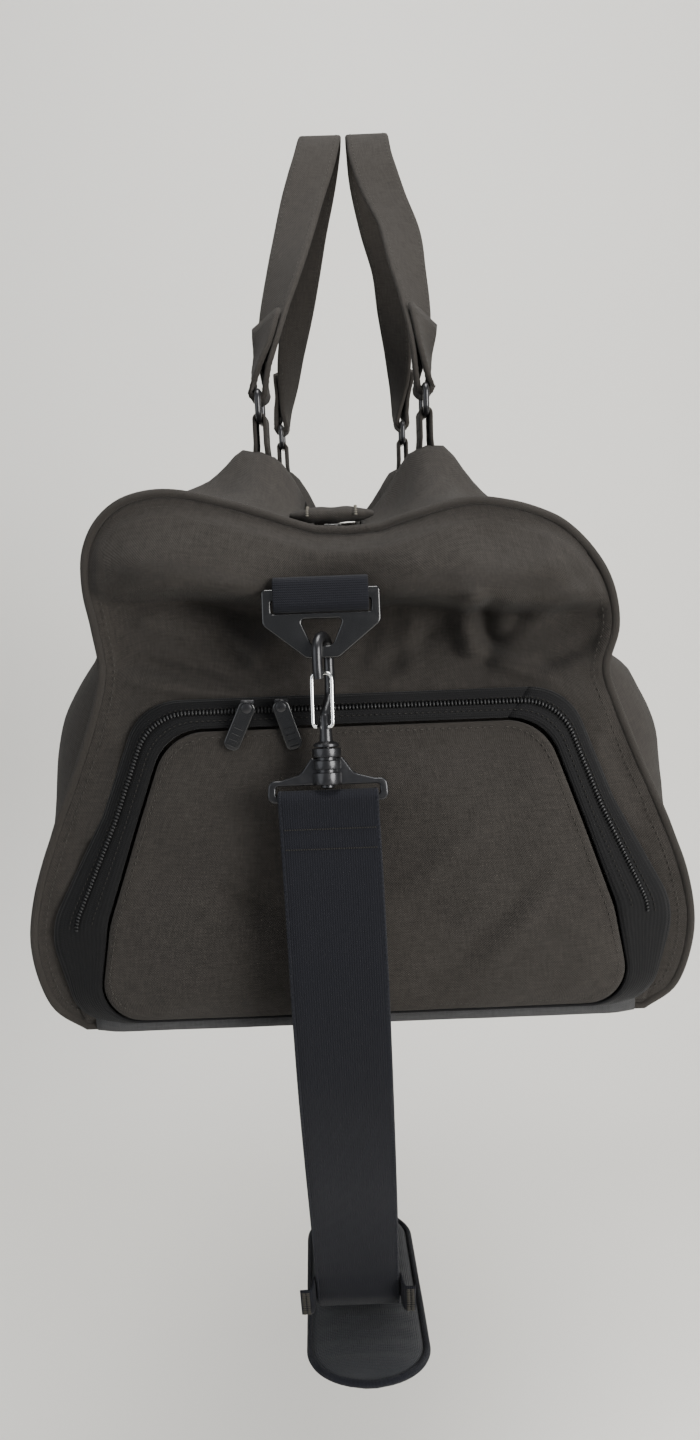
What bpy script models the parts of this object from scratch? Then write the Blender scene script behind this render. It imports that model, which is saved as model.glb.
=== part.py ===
"""Duffel bag carried by its two handles, with its shoulder strap hanging in a loop below it.

The bag's long way is Y, its width X and its height Z. All heights in this file are measured from the
underside of the bag's base. The parts hang from one empty that lowers them, so that the world origin
is on top of the two handles, where the hand holds them.
"""

import math

import bmesh
import bpy
from mathutils import Matrix, Vector

# --- the bag's body -------------------------------------------------------------------------------
HALF_LENGTH = 0.2362        # where the side and top panels end
WALL = 0.003                # padded wall of canvas, foam and lining
END_Y = 0.238               # middle of an end panel's thickness
SIDE_PROFILE = (            # outer (x, z) of the right side, from the base to the shoulder
    (0.1555, 0.0015), (0.172, 0.015), (0.1795, 0.045), (0.1755, 0.075), (0.163, 0.110),
    (0.150, 0.140), (0.138, 0.170), (0.1315, 0.205), (0.134, 0.235), (0.1345, 0.258), (0.1245, 0.279),
)
TOP_PROFILE = (             # outer (x, z) of the top, from the middle to the shoulder
    (0.0, 0.2660), (0.0165, 0.2672), (0.03, 0.2712), (0.06, 0.2812), (0.095, 0.2885), (0.1225, 0.2815),
    (0.1245, 0.279),
)
TUCK_DEPTH = 0.010          # how far the end panel tucks in under its upper fold
TUCK_Z = 0.203
TUCK_HEIGHT = 0.014
FOLD_DEPTH = 0.012          # how far the upper fold stands out
FOLD_Z = 0.237
FOLD_HEIGHT = 0.020
BASE_HALF_WIDTH = 0.1533
BASE_THICKNESS = 0.003
BOARD_HALF_SIZE = (0.147, 0.224)
BOARD_Z = (0.0036, 0.0064)
PIPING_RADIUS = 0.0021
PIPING_OFFSET = 0.0030      # from the panels' outline to the middle of the piping
END_INSET = 0.0016          # an end panel's edge lies this far inside the outline

# --- the carry handles and their anchors ------------------------------------------------------------
ANCHOR_X = 0.050
ANCHOR_Y = 0.120
TENT_HEIGHT = 0.0375        # how far the top is pulled up into a peak at each anchor
TENT_SPREAD = (0.021, 0.030)
TENT_RIDGE = 0.013          # half the length of the peak's ridge
LOWER_BAR_Z = 0.334
UPPER_BAR_Z = 0.350
RING_HALF_WIDTH = 0.018
RING_CORNER = 0.004
RING_WIRE = 0.0019
TAB_WIDTH = 0.029
TAB_THICKNESS = 0.0018
TAB_BOTTOM_Z = 0.3178
HANDLE_WIDTH = 0.029
HANDLE_THICKNESS = 0.0035
HANDLE_TURN = 0.0042        # radius of the strap's middle round a ring's bar
HANDLE_GAP = 0.0041         # between the middles of a leg and its folded tail
TAIL_TOP_Z = 0.394
TWIST_Z = (0.395, 0.455)    # the leg turns from facing sideways to facing forwards between these
GRIP_Z = 0.5315
# (x, y, z) of the near half of each handle's middle line, above the straight start at its ring
LEFT_LEG = (
    (-0.0455, -0.1195, 0.364), (-0.0425, -0.115, 0.380), (-0.0390, -0.101, 0.402),
    (-0.0322, -0.083, 0.430), (-0.0262, -0.063, 0.456), (-0.0202, -0.044, 0.482),
    (-0.0125, -0.026, 0.509), (-0.0085, -0.012, 0.5265), (-0.0078, 0.0, GRIP_Z),
)
RIGHT_LEG = (
    (0.0465, -0.1195, 0.364), (0.0475, -0.115, 0.380), (0.0472, -0.101, 0.402),
    (0.0440, -0.083, 0.430), (0.0412, -0.063, 0.456), (0.0330, -0.044, 0.482),
    (0.0262, -0.026, 0.509), (0.0243, -0.012, 0.5265), (0.0238, 0.0, GRIP_Z),
)

# --- the main zip --------------------------------------------------------------------------------------
ZIP_X = -0.008
ZIP_HALF_LENGTH = 0.214
ZIP_TAPE = (0.0036, 0.0150)  # inner and outer edge of a tape, from the zip's middle
ZIP_TAPE_Z = (0.2618, 0.2626)
ZIP_CHAIN_HALF = 0.0031
ZIP_CHAIN_Z = (0.2618, 0.2648)
STOP_SIZE = (0.044, 0.019, 0.0080)
STOP_Z = 0.2722
STOP_Y = 0.2250
TOP_SLIDER_Y = -0.172
TOP_SLIDER_SIZE = (0.0088, 0.0130, 0.0032)
TOP_BRIDGE = (0.0034, 0.0008)  # radius of the bridge's middle, radius of its wire
TOP_PULL_SIZE = (0.0100, 0.0330, 0.0018)

# --- the end pocket --------------------------------------------------------------------------------------
POCKET_Y = 0.2520           # middle of the pocket panel's thickness
POCKET_CORNERS = (          # (x, z, radius) of the right half, from the top down
    (0.097, 0.168, 0.028), (0.1175, 0.113, 0.05), (0.135, 0.064, 0.05), (0.1465, 0.0065, 0.020),
)
BAND_CORNERS = (
    (0.112, 0.183, 0.030), (0.135, 0.120, 0.05), (0.160, 0.066, 0.04), (0.163, 0.0035, 0.022),
)
POCKET_GAP = 0.0017         # between the pocket panel's edge and the middle of the band's edge
BAND_Y = (0.2411, 0.2516)
BAND_THICKNESS = 0.0016
POCKET_CHAIN_RADIUS = 0.0015
POCKET_SLIDER_X = (-0.0550, -0.0375)
POCKET_SLIDER_SIZE = (0.0080, 0.0070, 0.0034)
POCKET_POST = (0.0014, 0.0026)  # radius of the post and of its head
POCKET_PULL_SIZE = (0.0088, 0.0270, 0.0019)
POCKET_PULL_Y = 0.2562      # middle of a pull's thickness
POCKET_PULL_LEAN = (-25.0, 17.0)

# --- ring, hook and shoulder strap -----------------------------------------------------------------------
RING_X = -0.0148
RING_BAR_Y = 0.2573         # middle of the plate ring's top bar
RING_BAR_Z = 0.237
RING_TILT = 12.0
PLATE_THICKNESS = 0.004
LOOP_WIDTH = 0.048
LOOP_THICKNESS = 0.002
LOOP_TURN = 0.0034
LOOP_HALF_HEIGHT = 0.0047
HOLE_BOTTOM = 0.0258        # from the bar to the bottom of the ring's hook hole
HOOK_TILT = 10.3
HOOK_TURN = 20.0            # how far the hook is turned about its stem
BOW_RADIUS = 0.008
BOW_WIRE = 0.0026
BOW_TOP = 0.0046            # heights on the hook are from the ring's contact, up its stem
NOSE_END = -0.0165
BARREL_Z = (-0.0694, -0.0512)
BARREL_RADIUS = 0.0073
BORE_RADIUS = 0.0028
LOOP_BAR_Z = -0.0765
LOOP_BAR_RADIUS = 0.0016
GATE_WIRE = 0.0010
GATE_HALF_WIDTH = 0.0053
GATE_FOOT = (0.0034, -0.0405)  # out from the stem, up the stem: the gate's pivot
GATE_TOP = (0.0031, -0.0140)
STRAP_WIDTH = 0.050
STRAP_THICKNESS = 0.002
STRAP_TURN = 0.0035
STRAP_STEP = 0.014
STRAP_LAYER = 0.0025        # between the middles of the near leg's two layers
NEAR_TAIL_Z = -0.145
FAR_TAIL_Z = 0.001
# (x, y, z) of the strap's middle from its near end to its far end
STRAP_ROUTE = (
    (-0.0147, -0.2795, 0.128), (-0.0142, -0.2812, 0.112), (-0.0135, -0.2845, 0.080),
    (-0.0128, -0.2868, 0.035), (-0.0122, -0.2800, -0.020), (-0.0116, -0.2640, -0.075),
    (-0.0111, -0.2460, -0.125), (-0.0108, -0.2310, -0.170), (-0.0107, -0.2235, -0.193),
    (-0.0106, -0.2130, -0.2055), (-0.0105, -0.1980, -0.2135), (-0.0105, -0.1700, -0.2190),
    (-0.0108, -0.1100, -0.2270), (-0.0112, -0.0400, -0.2320), (-0.0118, 0.0300, -0.2280),
    (-0.0124, 0.1000, -0.2050), (-0.0130, 0.1600, -0.1620), (-0.0135, 0.2050, -0.1080),
    (-0.0139, 0.2400, -0.0450), (-0.0143, 0.2660, 0.0200), (-0.0145, 0.2775, 0.0750),
    (-0.0147, 0.2800, 0.1120), (-0.0148, 0.2795, 0.1280),
)
PAD_HALF_WIDTH = 0.036
PAD_HALF_THICKNESS = 0.0055
PAD_END_ROUND = 0.034
PAD_ROUTE = (               # (x, y, z) of the pad's middle from its near tip
    (-0.0050, -0.2680, -0.2125), (-0.0055, -0.2450, -0.2170), (-0.0062, -0.2200, -0.2205),
    (-0.0070, -0.1950, -0.2235), (-0.0080, -0.1700, -0.2268), (-0.0090, -0.1400, -0.2310),
    (-0.0100, -0.1100, -0.2350), (-0.0105, -0.0820, -0.2378),
)
BAND_SPAN = (0.320, 0.342)  # where along the strap the pad's cross band lies
PAD_BAND_THICKNESS = 0.0012
PAD_BAND_CROSS = (          # (across the strap, above its middle) of the band's section
    (-0.0345, -0.0072), (-0.0280, -0.0068), (-0.0264, 0.0018),
    (0.0264, 0.0018), (0.0280, -0.0068), (0.0345, -0.0072),
)
ADJUSTER_S = 0.842          # how far along the strap the adjuster's middle is
ADJUSTER_SIZE = (0.058, 0.032)
ADJUSTER_SLOT = (0.0515, 0.0095)
ADJUSTER_BAR = 0.0042       # width of its middle bar
ADJUSTER_THICKNESS = 0.0028
ADJUSTER_WEAVE = 0.0029     # how far the strap passes above or below the adjuster's middle

GRIP_TOP = GRIP_Z + HANDLE_THICKNESS / 2

COLOURS = {                 # base colour, roughness, metallic
    "canvas": ((0.060, 0.062, 0.058), 0.9, 0.0),
    "webbing": ((0.014, 0.015, 0.018), 0.8, 0.0),
    "tape": ((0.012, 0.012, 0.013), 0.85, 0.0),
    "coil": ((0.020, 0.020, 0.021), 0.5, 0.0),
    "black_plastic": ((0.012, 0.012, 0.013), 0.3, 0.0),
    "black_metal": ((0.020, 0.020, 0.022), 0.3, 0.8),
    "steel_wire": ((0.62, 0.62, 0.60), 0.25, 1.0),
    "board": ((0.10, 0.10, 0.10), 0.7, 0.0),
    "pad_mesh": ((0.020, 0.021, 0.022), 0.9, 0.0),
}


# --- scene and helpers ---------------------------------------------------------------------------------

def clear_scene():
    for obj in list(bpy.data.objects):
        bpy.data.objects.remove(obj, do_unlink=True)


def make_collection(name):
    collection = bpy.data.collections.new(name)
    bpy.context.scene.collection.children.link(collection)
    return collection


def make_material(name):
    colour, roughness, metallic = COLOURS[name.rsplit("-", 1)[0]]
    material = bpy.data.materials.new(name)
    material.use_nodes = True
    shader = material.node_tree.nodes["Principled BSDF"]
    shader.inputs["Base Color"].default_value = (*colour, 1.0)
    shader.inputs["Roughness"].default_value = roughness
    shader.inputs["Metallic"].default_value = metallic
    return material


def add_object(name, data, finish, parent, place=None):
    """Link a new part under its parent, with its own material and its matrix in the parent's frame."""
    obj = bpy.data.objects.new(name, data)
    PARTS.objects.link(obj)
    obj.parent = parent
    obj.matrix_local = place or Matrix.Identity(4)
    data.materials.append(make_material(f"{finish}-{name}"))
    return obj


def add_cutter(name, data, parent, place=None):
    obj = bpy.data.objects.new(name, data)
    CUTTERS.objects.link(obj)
    obj.parent = parent
    obj.matrix_local = place or Matrix.Identity(4)
    obj.hide_render = True
    obj.display_type = "WIRE"
    return obj


def add_empty(name, parent, place):
    empty = bpy.data.objects.new(name, None)
    PARTS.objects.link(empty)
    empty.parent = parent
    empty.matrix_local = place
    return empty


def solidify(obj, thickness, offset=0.0):
    modifier = obj.modifiers.new("thickness", "SOLIDIFY")
    modifier.thickness = thickness
    modifier.offset = offset
    modifier.use_even_offset = True
    return obj


def boolean(obj, other, operation):
    modifier = obj.modifiers.new(operation.lower(), "BOOLEAN")
    modifier.operation = operation
    modifier.object = other


def sheet_mesh(name, rows, cyclic=False):
    """An open surface through rows of points; a cyclic one joins its last row to its first."""
    mesh = bmesh.new()
    grid = [[mesh.verts.new(point) for point in row] for row in rows]
    pairs = list(zip(grid, grid[1:]))
    if cyclic:
        pairs.append((grid[-1], grid[0]))
    for lower, upper in pairs:
        for i in range(len(lower) - 1):
            mesh.faces.new((lower[i], lower[i + 1], upper[i + 1], upper[i]))
    data = bpy.data.meshes.new(name)
    mesh.to_mesh(data)
    mesh.free()
    return data


def loft_mesh(name, rings):
    """A closed solid through rings of points, with a flat cap at each end."""
    mesh = bmesh.new()
    loops = [[mesh.verts.new(point) for point in ring] for ring in rings]
    count = len(loops[0])
    for lower, upper in zip(loops, loops[1:]):
        for i in range(count):
            j = (i + 1) % count
            mesh.faces.new((lower[i], lower[j], upper[j], upper[i]))
    mesh.faces.new(reversed(loops[0]))
    mesh.faces.new(loops[-1])
    bmesh.ops.recalc_face_normals(mesh, faces=mesh.faces)
    data = bpy.data.meshes.new(name)
    mesh.to_mesh(data)
    mesh.free()
    return data


def box_mesh(name, low, high, bevel=0.0):
    mesh = bmesh.new()
    size = Vector(high) - Vector(low)
    middle = (Vector(high) + Vector(low)) / 2
    bmesh.ops.create_cube(mesh, size=1.0, matrix=Matrix.Translation(middle) @ Matrix.Diagonal((*size, 1.0)))
    if bevel:
        bmesh.ops.bevel(mesh, geom=list(mesh.edges), offset=bevel, segments=1, affect="EDGES")
    data = bpy.data.meshes.new(name)
    mesh.to_mesh(data)
    mesh.free()
    return data


def cylinder_mesh(name, radius, low, high, sides=16):
    mesh = bmesh.new()
    place = Matrix.Translation((0, 0, (low + high) / 2))
    bmesh.ops.create_cone(mesh, cap_ends=True, segments=sides, radius1=radius, radius2=radius,
                          depth=high - low, matrix=place)
    data = bpy.data.meshes.new(name)
    mesh.to_mesh(data)
    mesh.free()
    return data


def wire_curve(name, points, radius, cyclic=False, resolution=2):
    """A round wire or cord through the points."""
    curve = bpy.data.curves.new(name, "CURVE")
    curve.dimensions = "3D"
    spline = curve.splines.new("POLY")
    spline.points.add(len(points) - 1)
    for item, point in zip(spline.points, points):
        item.co = (*point, 1.0)
    spline.use_cyclic_u = cyclic
    curve.bevel_depth = radius
    curve.bevel_resolution = resolution
    curve.use_fill_caps = not cyclic
    return curve


def plate_curve(name, outlines, thickness):
    """A flat plate in the local XY plane: the first outline is its edge, the others are holes."""
    curve = bpy.data.curves.new(name, "CURVE")
    curve.dimensions = "2D"
    curve.fill_mode = "BOTH"
    curve.extrude = thickness / 2
    for outline in outlines:
        spline = curve.splines.new("POLY")
        spline.points.add(len(outline) - 1)
        for item, point in zip(spline.points, outline):
            item.co = (*point, 0.0, 1.0)
        spline.use_cyclic_u = True
    return curve


def as_mesh(obj):
    """Replace a curve object with the same piece as a welded mesh, so that it can take a Boolean."""
    bpy.context.view_layer.update()
    graph = bpy.context.evaluated_depsgraph_get()
    data = bpy.data.meshes.new_from_object(obj.evaluated_get(graph))
    mesh = bmesh.new()
    mesh.from_mesh(data)
    bmesh.ops.remove_doubles(mesh, verts=mesh.verts, dist=0.00001)
    mesh.to_mesh(data)
    mesh.free()
    solid = bpy.data.objects.new(obj.name + "_solid", data)
    for collection in obj.users_collection:
        collection.objects.link(solid)
    solid.parent = obj.parent
    solid.matrix_local = obj.matrix_local.copy()
    solid.hide_render = obj.hide_render
    solid.display_type = obj.display_type
    name = obj.name
    bpy.data.objects.remove(obj, do_unlink=True)
    solid.name = name
    return solid


def smooth_points(keys, step):
    """Points about a step apart on a smooth curve through the key points."""
    keys = [Vector(key) for key in keys]
    ends = [keys[0] * 2 - keys[1]] + keys + [keys[-1] * 2 - keys[-2]]
    points = [keys[0]]
    for a, b, c, d in zip(ends, ends[1:], ends[2:], ends[3:]):
        count = max(1, round((c - b).length / step))
        for i in range(1, count + 1):
            t = i / count
            points.append(0.5 * ((2 * b) + (c - a) * t + (2 * a - 5 * b + 4 * c - d) * t * t
                                 + (3 * b - a - 3 * c + d) * t ** 3))
    return points


def arc(centre, radius, start, end, steps):
    """Points on an arc in a plane, angles in degrees, without its two ends."""
    angles = [math.radians(start + (end - start) * i / steps) for i in range(1, steps)]
    return [(centre[0] + radius * math.cos(a), centre[1] + radius * math.sin(a)) for a in angles]


def rounded(corners, steps=4):
    """A closed outline through (x, y, radius) corners, each replaced by an arc of its radius."""
    outline = []
    count = len(corners)
    for i, (x, y, radius) in enumerate(corners):
        here = Vector((x, y))
        before = Vector(corners[i - 1][:2]) - here
        after = Vector(corners[(i + 1) % count][:2]) - here
        half = before.angle(after) / 2
        reach = radius / math.tan(half)
        start = here + before.normalized() * reach
        end = here + after.normalized() * reach
        centre = here + (before.normalized() + after.normalized()).normalized() * (radius / math.sin(half))
        first = math.atan2(start.y - centre.y, start.x - centre.x)
        turn = math.atan2(end.y - centre.y, end.x - centre.x) - first
        turn = (turn + math.pi) % (2 * math.pi) - math.pi
        for k in range(steps + 1):
            angle = first + turn * k / steps
            outline.append((centre.x + radius * math.cos(angle), centre.y + radius * math.sin(angle)))
    return outline


def rounded_box(width, height, radius, middle=(0.0, 0.0)):
    x, y = width / 2, height / 2
    corners = ((x, y), (-x, y), (-x, -y), (x, -y))
    return rounded([(middle[0] + cx, middle[1] + cy, radius) for cx, cy in corners], 3)


def mirrored_outline(corners):
    """A closed outline from the corners of its right half, from the top down."""
    left = [(-x, z, radius) for x, z, radius in reversed(corners)]
    return rounded(list(corners) + left)


def interpolate(table, value):
    """The second column of a table at a value of its first, on straight lines."""
    for (a, first), (b, second) in zip(table, table[1:]):
        if value <= b:
            return first + (second - first) * max(0.0, value - a) / (b - a)
    return table[-1][1]


def ribbon(name, centres, sides, width, thickness, finish, parent, cyclic=False, place=None):
    """A flat strap along a middle line, with its width along the given directions."""
    rows = []
    for centre, side in zip(centres, sides):
        half = Vector(side).normalized() * width / 2
        rows.append((Vector(centre) - half, Vector(centre) + half))
    obj = add_object(name, sheet_mesh(name, rows, cyclic), finish, parent, place)
    return solidify(obj, thickness)


def upright(x, y, z):
    """A frame whose local XY plane is the world XZ plane, so that a plate stands facing the near end."""
    return Matrix.Translation((x, y, z)) @ Matrix.Rotation(math.radians(90), 4, "X")


# --- the bag's body -------------------------------------------------------------------------------------

def top_height(x):
    return interpolate(TOP_PROFILE, abs(x))


def half_width(z):
    return interpolate([(height, x) for x, height in SIDE_PROFILE], z)


def tent(x, y):
    """How far the peak under a handle's anchor lifts the top."""
    across = abs(abs(x) - ANCHOR_X) / TENT_SPREAD[0]
    along = max(0.0, abs(abs(y) - ANCHOR_Y) - TENT_RIDGE) / TENT_SPREAD[1]
    return TENT_HEIGHT * math.exp(-across ** 1.3 - along ** 1.3)


def make_top_panel(name, xs):
    ys = [0.0, 0.035, 0.070, 0.092, 0.107, 0.120, 0.133, 0.148, 0.170, 0.202, HALF_LENGTH]
    ys = [-y for y in reversed(ys[1:])] + ys
    rows = [[(x, y, top_height(x) + tent(x, y) - WALL / 2) for x in xs] for y in ys]
    obj = add_object(name, sheet_mesh(name, rows), "canvas", BAG)
    solidify(obj, WALL)


def make_top_panels():
    outer = (0.030, 0.040, 0.050, 0.060, 0.075, 0.098, 0.1225)
    make_top_panel("top_panel_right", (ZIP_X + 0.0170, *outer))
    make_top_panel("top_panel_left", [-x for x in reversed(outer)] + [ZIP_X - 0.0170])


def make_side_panel(name, side):
    rows = [[(side * x, y, z) for x, z in SIDE_PROFILE] for y in (-HALF_LENGTH, 0.0, HALF_LENGTH)]
    obj = add_object(name, sheet_mesh(name, rows), "canvas", BAG)
    solidify(obj, WALL, offset=1.0 if side > 0 else -1.0)


def end_surface(x_share, z):
    """How far out of the end panel's plane its surface is: out at the upper fold, in under it."""
    middle = 1.0 - x_share ** 2
    tuck = TUCK_DEPTH * middle ** 2 * math.exp(-((z - TUCK_Z) / TUCK_HEIGHT) ** 2)
    fold = FOLD_DEPTH * middle * math.exp(-((z - FOLD_Z) / FOLD_HEIGHT) ** 2)
    return fold - tuck


def make_end_panel(name, side):
    shares = [math.sin(math.radians(angle)) for angle in range(-90, 91, 18)]
    heights = (0.0015, 0.02, 0.045, 0.08, 0.12, 0.16, 0.182, 0.193, 0.204, 0.215, 0.226, 0.237,
               0.250, 0.264, 0.279)
    rows = []
    for height in heights:
        row = []
        for share in shares:
            x = share * (half_width(height) - END_INSET)
            z = height * (top_height(x) - END_INSET) / SIDE_PROFILE[-1][1]
            row.append((x, side * (END_Y + end_surface(share, z)), z))
        rows.append(row)
    obj = add_object(name, sheet_mesh(name, rows), "canvas", BAG)
    solidify(obj, WALL)


def body_outline():
    """The body's outline in the XZ plane, from the left bottom corner over the top to the right one."""
    right = list(SIDE_PROFILE[:-1]) + list(reversed(TOP_PROFILE[1:]))
    left = [(-x, z) for x, z in right]
    return left + [TOP_PROFILE[0]] + list(reversed(right))


def make_piping(name, side):
    outline = [Vector((x, z, 0.0)) for x, z in body_outline()]
    points = []
    for i, point in enumerate(outline):
        along = outline[min(i + 1, len(outline) - 1)] - outline[max(i - 1, 0)]
        out = Vector((-along.y, along.x, 0.0)).normalized() * PIPING_OFFSET
        points.append((point.x + out.x, side * END_Y, point.y + out.y))
    add_object(name, wire_curve(name, points, PIPING_RADIUS), "canvas", BAG)


def make_base():
    low = (-BASE_HALF_WIDTH, -HALF_LENGTH + 0.001, 0.0)
    high = (BASE_HALF_WIDTH, HALF_LENGTH - 0.001, BASE_THICKNESS)
    add_object("base_panel", box_mesh("base_panel", low, high, 0.0008), "canvas", BAG)
    x, y = BOARD_HALF_SIZE
    board = box_mesh("base_board", (-x, -y, BOARD_Z[0]), (x, y, BOARD_Z[1]), 0.0006)
    add_object("base_board", board, "board", BAG)


# --- the main zip ---------------------------------------------------------------------------------------

def make_main_zip():
    length = ZIP_HALF_LENGTH
    for name, side in (("zip_tape_left", -1), ("zip_tape_right", 1)):
        edges = sorted(ZIP_X + side * edge for edge in ZIP_TAPE)
        low = (edges[0], -length, ZIP_TAPE_Z[0])
        high = (edges[1], length, ZIP_TAPE_Z[1])
        add_object(name, box_mesh(name, low, high), "tape", BAG)
    low = (ZIP_X - ZIP_CHAIN_HALF, -length, ZIP_CHAIN_Z[0])
    high = (ZIP_X + ZIP_CHAIN_HALF, length, ZIP_CHAIN_Z[1])
    add_object("zip_chain", box_mesh("zip_chain", low, high, 0.0007), "coil", BAG)
    width, depth, height = STOP_SIZE
    for name, side in (("zip_stop_near", -1), ("zip_stop_far", 1)):
        low = (ZIP_X - width / 2, side * STOP_Y - depth / 2, STOP_Z)
        high = (ZIP_X + width / 2, side * STOP_Y + depth / 2, STOP_Z + height)
        add_object(name, box_mesh(name, low, high, 0.003), "tape", BAG)


def make_top_slider():
    width, length, height = TOP_SLIDER_SIZE
    low = ZIP_CHAIN_Z[1] + 0.0004
    place = Matrix.Translation((ZIP_X, TOP_SLIDER_Y, low))
    block = box_mesh("main_slider", (-width / 2, -length / 2, 0), (width / 2, length / 2, height), 0.0008)
    slider = add_object("main_slider", block, "black_metal", BAG, place)
    radius, wire = TOP_BRIDGE
    top = height - 0.0006
    arch = [(0, radius, top - 0.0004)] + [(0, y, top + z) for y, z in arc((0, 0.0016), radius, 0, 180, 8)]
    arch.append((0, -radius, top - 0.0004))
    bridge = add_cutter("main_slider_bridge", wire_curve("main_slider_bridge", arch, wire), BAG, place)
    boolean(slider, as_mesh(bridge), "UNION")
    make_top_pull(low + height + 0.0017)


def make_top_pull(height):
    width, length, thickness = TOP_PULL_SIZE
    bar = 0.0009
    edge = rounded_box(width, length, 0.003, (0.0, bar - length / 2))
    slot = rounded_box(0.0052, 0.0056, 0.0008, (0.0, -bar - 0.0028))
    place = Matrix.Translation((ZIP_X, TOP_SLIDER_Y, height))
    pull = add_object("main_pull", plate_curve("main_pull", (edge, slot), thickness),
                      "black_plastic", BAG, place)
    as_mesh(pull)


# --- the end pocket ---------------------------------------------------------------------------------------

def pocket_outlines():
    """The band's outer and inner edge as (x, z) lists of the same length."""
    return mirrored_outline(BAND_CORNERS), mirrored_outline(
        [(x + POCKET_GAP, z + (POCKET_GAP if z > 0.03 else -POCKET_GAP), r) for x, z, r in POCKET_CORNERS])


def band_normal(outer, inner, before, after):
    """The direction that the zip band faces at one place along it."""
    down = Vector((inner[0] - outer[0], BAND_Y[0] - BAND_Y[1], inner[1] - outer[1]))
    along = Vector((after[0] - before[0], 0.0, after[1] - before[1]))
    normal = along.cross(down).normalized()
    return normal if normal.y < 0 else -normal


def make_pocket():
    panel = plate_curve("pocket_panel", (mirrored_outline(POCKET_CORNERS),), WALL)
    add_object("pocket_panel", panel, "canvas", BAG, upright(0.0, -POCKET_Y, 0.0))
    outer, inner = pocket_outlines()
    rows = [((a[0], -BAND_Y[0], a[1]), (b[0], -BAND_Y[1], b[1])) for a, b in zip(outer, inner)]
    band = add_object("pocket_band", sheet_mesh("pocket_band", rows, cyclic=True), "tape", BAG)
    solidify(band, BAND_THICKNESS)
    reach = BAND_THICKNESS / 2 + 0.0004 + POCKET_CHAIN_RADIUS
    chain = []
    count = len(outer)
    for i in range(count):
        before = outer[i - 1]
        after = outer[(i + 1) % count]
        normal = band_normal(outer[i], inner[i], before, after)
        middle = Vector(((outer[i][0] + inner[i][0]) / 2, -sum(BAND_Y) / 2,
                         (outer[i][1] + inner[i][1]) / 2))
        chain.append(middle + normal * reach)
    first = next(i for i, point in enumerate(chain) if point.x > 0 and point.z < 0.05)
    last = max(i for i, point in enumerate(chain) if point.x < 0 and point.z < 0.05)
    chain = chain[:first] + chain[last + 1:]
    start = next(i for i, point in enumerate(chain) if point.x < 0)
    chain = chain[start:] + chain[:start]
    curve = wire_curve("pocket_chain", chain, POCKET_CHAIN_RADIUS, resolution=1)
    add_object("pocket_chain", curve, "coil", BAG)
    return band_normal((0.0, BAND_CORNERS[0][1]), (0.0, POCKET_CORNERS[0][1] + POCKET_GAP),
                       (0, 0), (1, 0)), reach


def make_pocket_slider(name, pull_name, x, lean, normal, reach):
    width, length, height = POCKET_SLIDER_SIZE
    middle_z = (BAND_CORNERS[0][1] + POCKET_CORNERS[0][1] + POCKET_GAP) / 2
    centre = Vector((x, -sum(BAND_Y) / 2, middle_z))
    centre += normal * (reach + POCKET_CHAIN_RADIUS + 0.0004 + height / 2)
    facing = math.atan2(normal.z, -normal.y)
    place = Matrix.Translation(centre) @ Matrix.Rotation(math.radians(90) - facing, 4, "X")
    block = box_mesh(name, (-width / 2, -length / 2, -height / 2),
                     (width / 2, length / 2, height / 2), 0.0008)
    slider = add_object(name, block, "black_metal", BAG, place)
    radius, head = POCKET_POST
    front = POCKET_PULL_Y + POCKET_PULL_SIZE[2] / 2
    post_z = centre.z - 0.0002
    profile = ((0.0, front + 0.0011), (head, front + 0.0009), (head, front + 0.0003),
               (radius, front + 0.0003), (radius, -centre.y), (0.0, -centre.y))
    post = turned_mesh(name + "_post", profile)
    lay = Matrix.Translation((x, 0.0, post_z)) @ Matrix.Rotation(math.radians(90), 4, "X")
    boolean(slider, add_cutter(name + "_post", post, BAG, lay), "UNION")
    width, length, thickness = POCKET_PULL_SIZE
    edge = rounded_box(width, length, 0.0035, (0.0, 0.0035 - length / 2))
    hole = [(0.0020 * math.cos(a), 0.0020 * math.sin(a)) for a in [math.radians(30 * k) for k in range(12)]]
    pull_place = upright(x, -POCKET_PULL_Y, post_z) @ Matrix.Rotation(math.radians(lean), 4, "Z")
    pull = add_object(pull_name, plate_curve(pull_name, (edge, hole), thickness),
                      "black_plastic", BAG, pull_place)
    as_mesh(pull)


def make_pocket_sliders(normal, reach):
    names = (("pocket_slider_left", "pocket_pull_left"), ("pocket_slider_right", "pocket_pull_right"))
    for (slider, pull), x, lean in zip(names, POCKET_SLIDER_X, POCKET_PULL_LEAN):
        make_pocket_slider(slider, pull, x, lean, normal, reach)


def turned_mesh(name, profile, steps=14):
    """A solid turned from (radius, height) points listed from the top down."""
    mesh = bmesh.new()
    verts = [mesh.verts.new((radius, 0.0, height)) for radius, height in profile]
    edges = [mesh.edges.new(pair) for pair in zip(verts, verts[1:])]
    bmesh.ops.spin(mesh, geom=verts + edges, cent=(0, 0, 0), axis=(0, 0, 1), angle=math.tau,
                   steps=steps, use_merge=True, use_duplicate=False)
    bmesh.ops.remove_doubles(mesh, verts=mesh.verts, dist=0.00001)
    bmesh.ops.recalc_face_normals(mesh, faces=mesh.faces)
    data = bpy.data.meshes.new(name)
    mesh.to_mesh(data)
    mesh.free()
    return data


# --- the handles ------------------------------------------------------------------------------------------

def make_handle_ring(name, side, end):
    high = UPPER_BAR_Z - LOWER_BAR_Z
    outline = rounded_box(RING_HALF_WIDTH * 2, high, RING_CORNER,
                          (end * ANCHOR_Y, (UPPER_BAR_Z + LOWER_BAR_Z) / 2))
    points = [(side * ANCHOR_X, y, z) for y, z in outline]
    add_object(name, wire_curve(name, points, RING_WIRE, cyclic=True), "black_metal", BAG)


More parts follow.
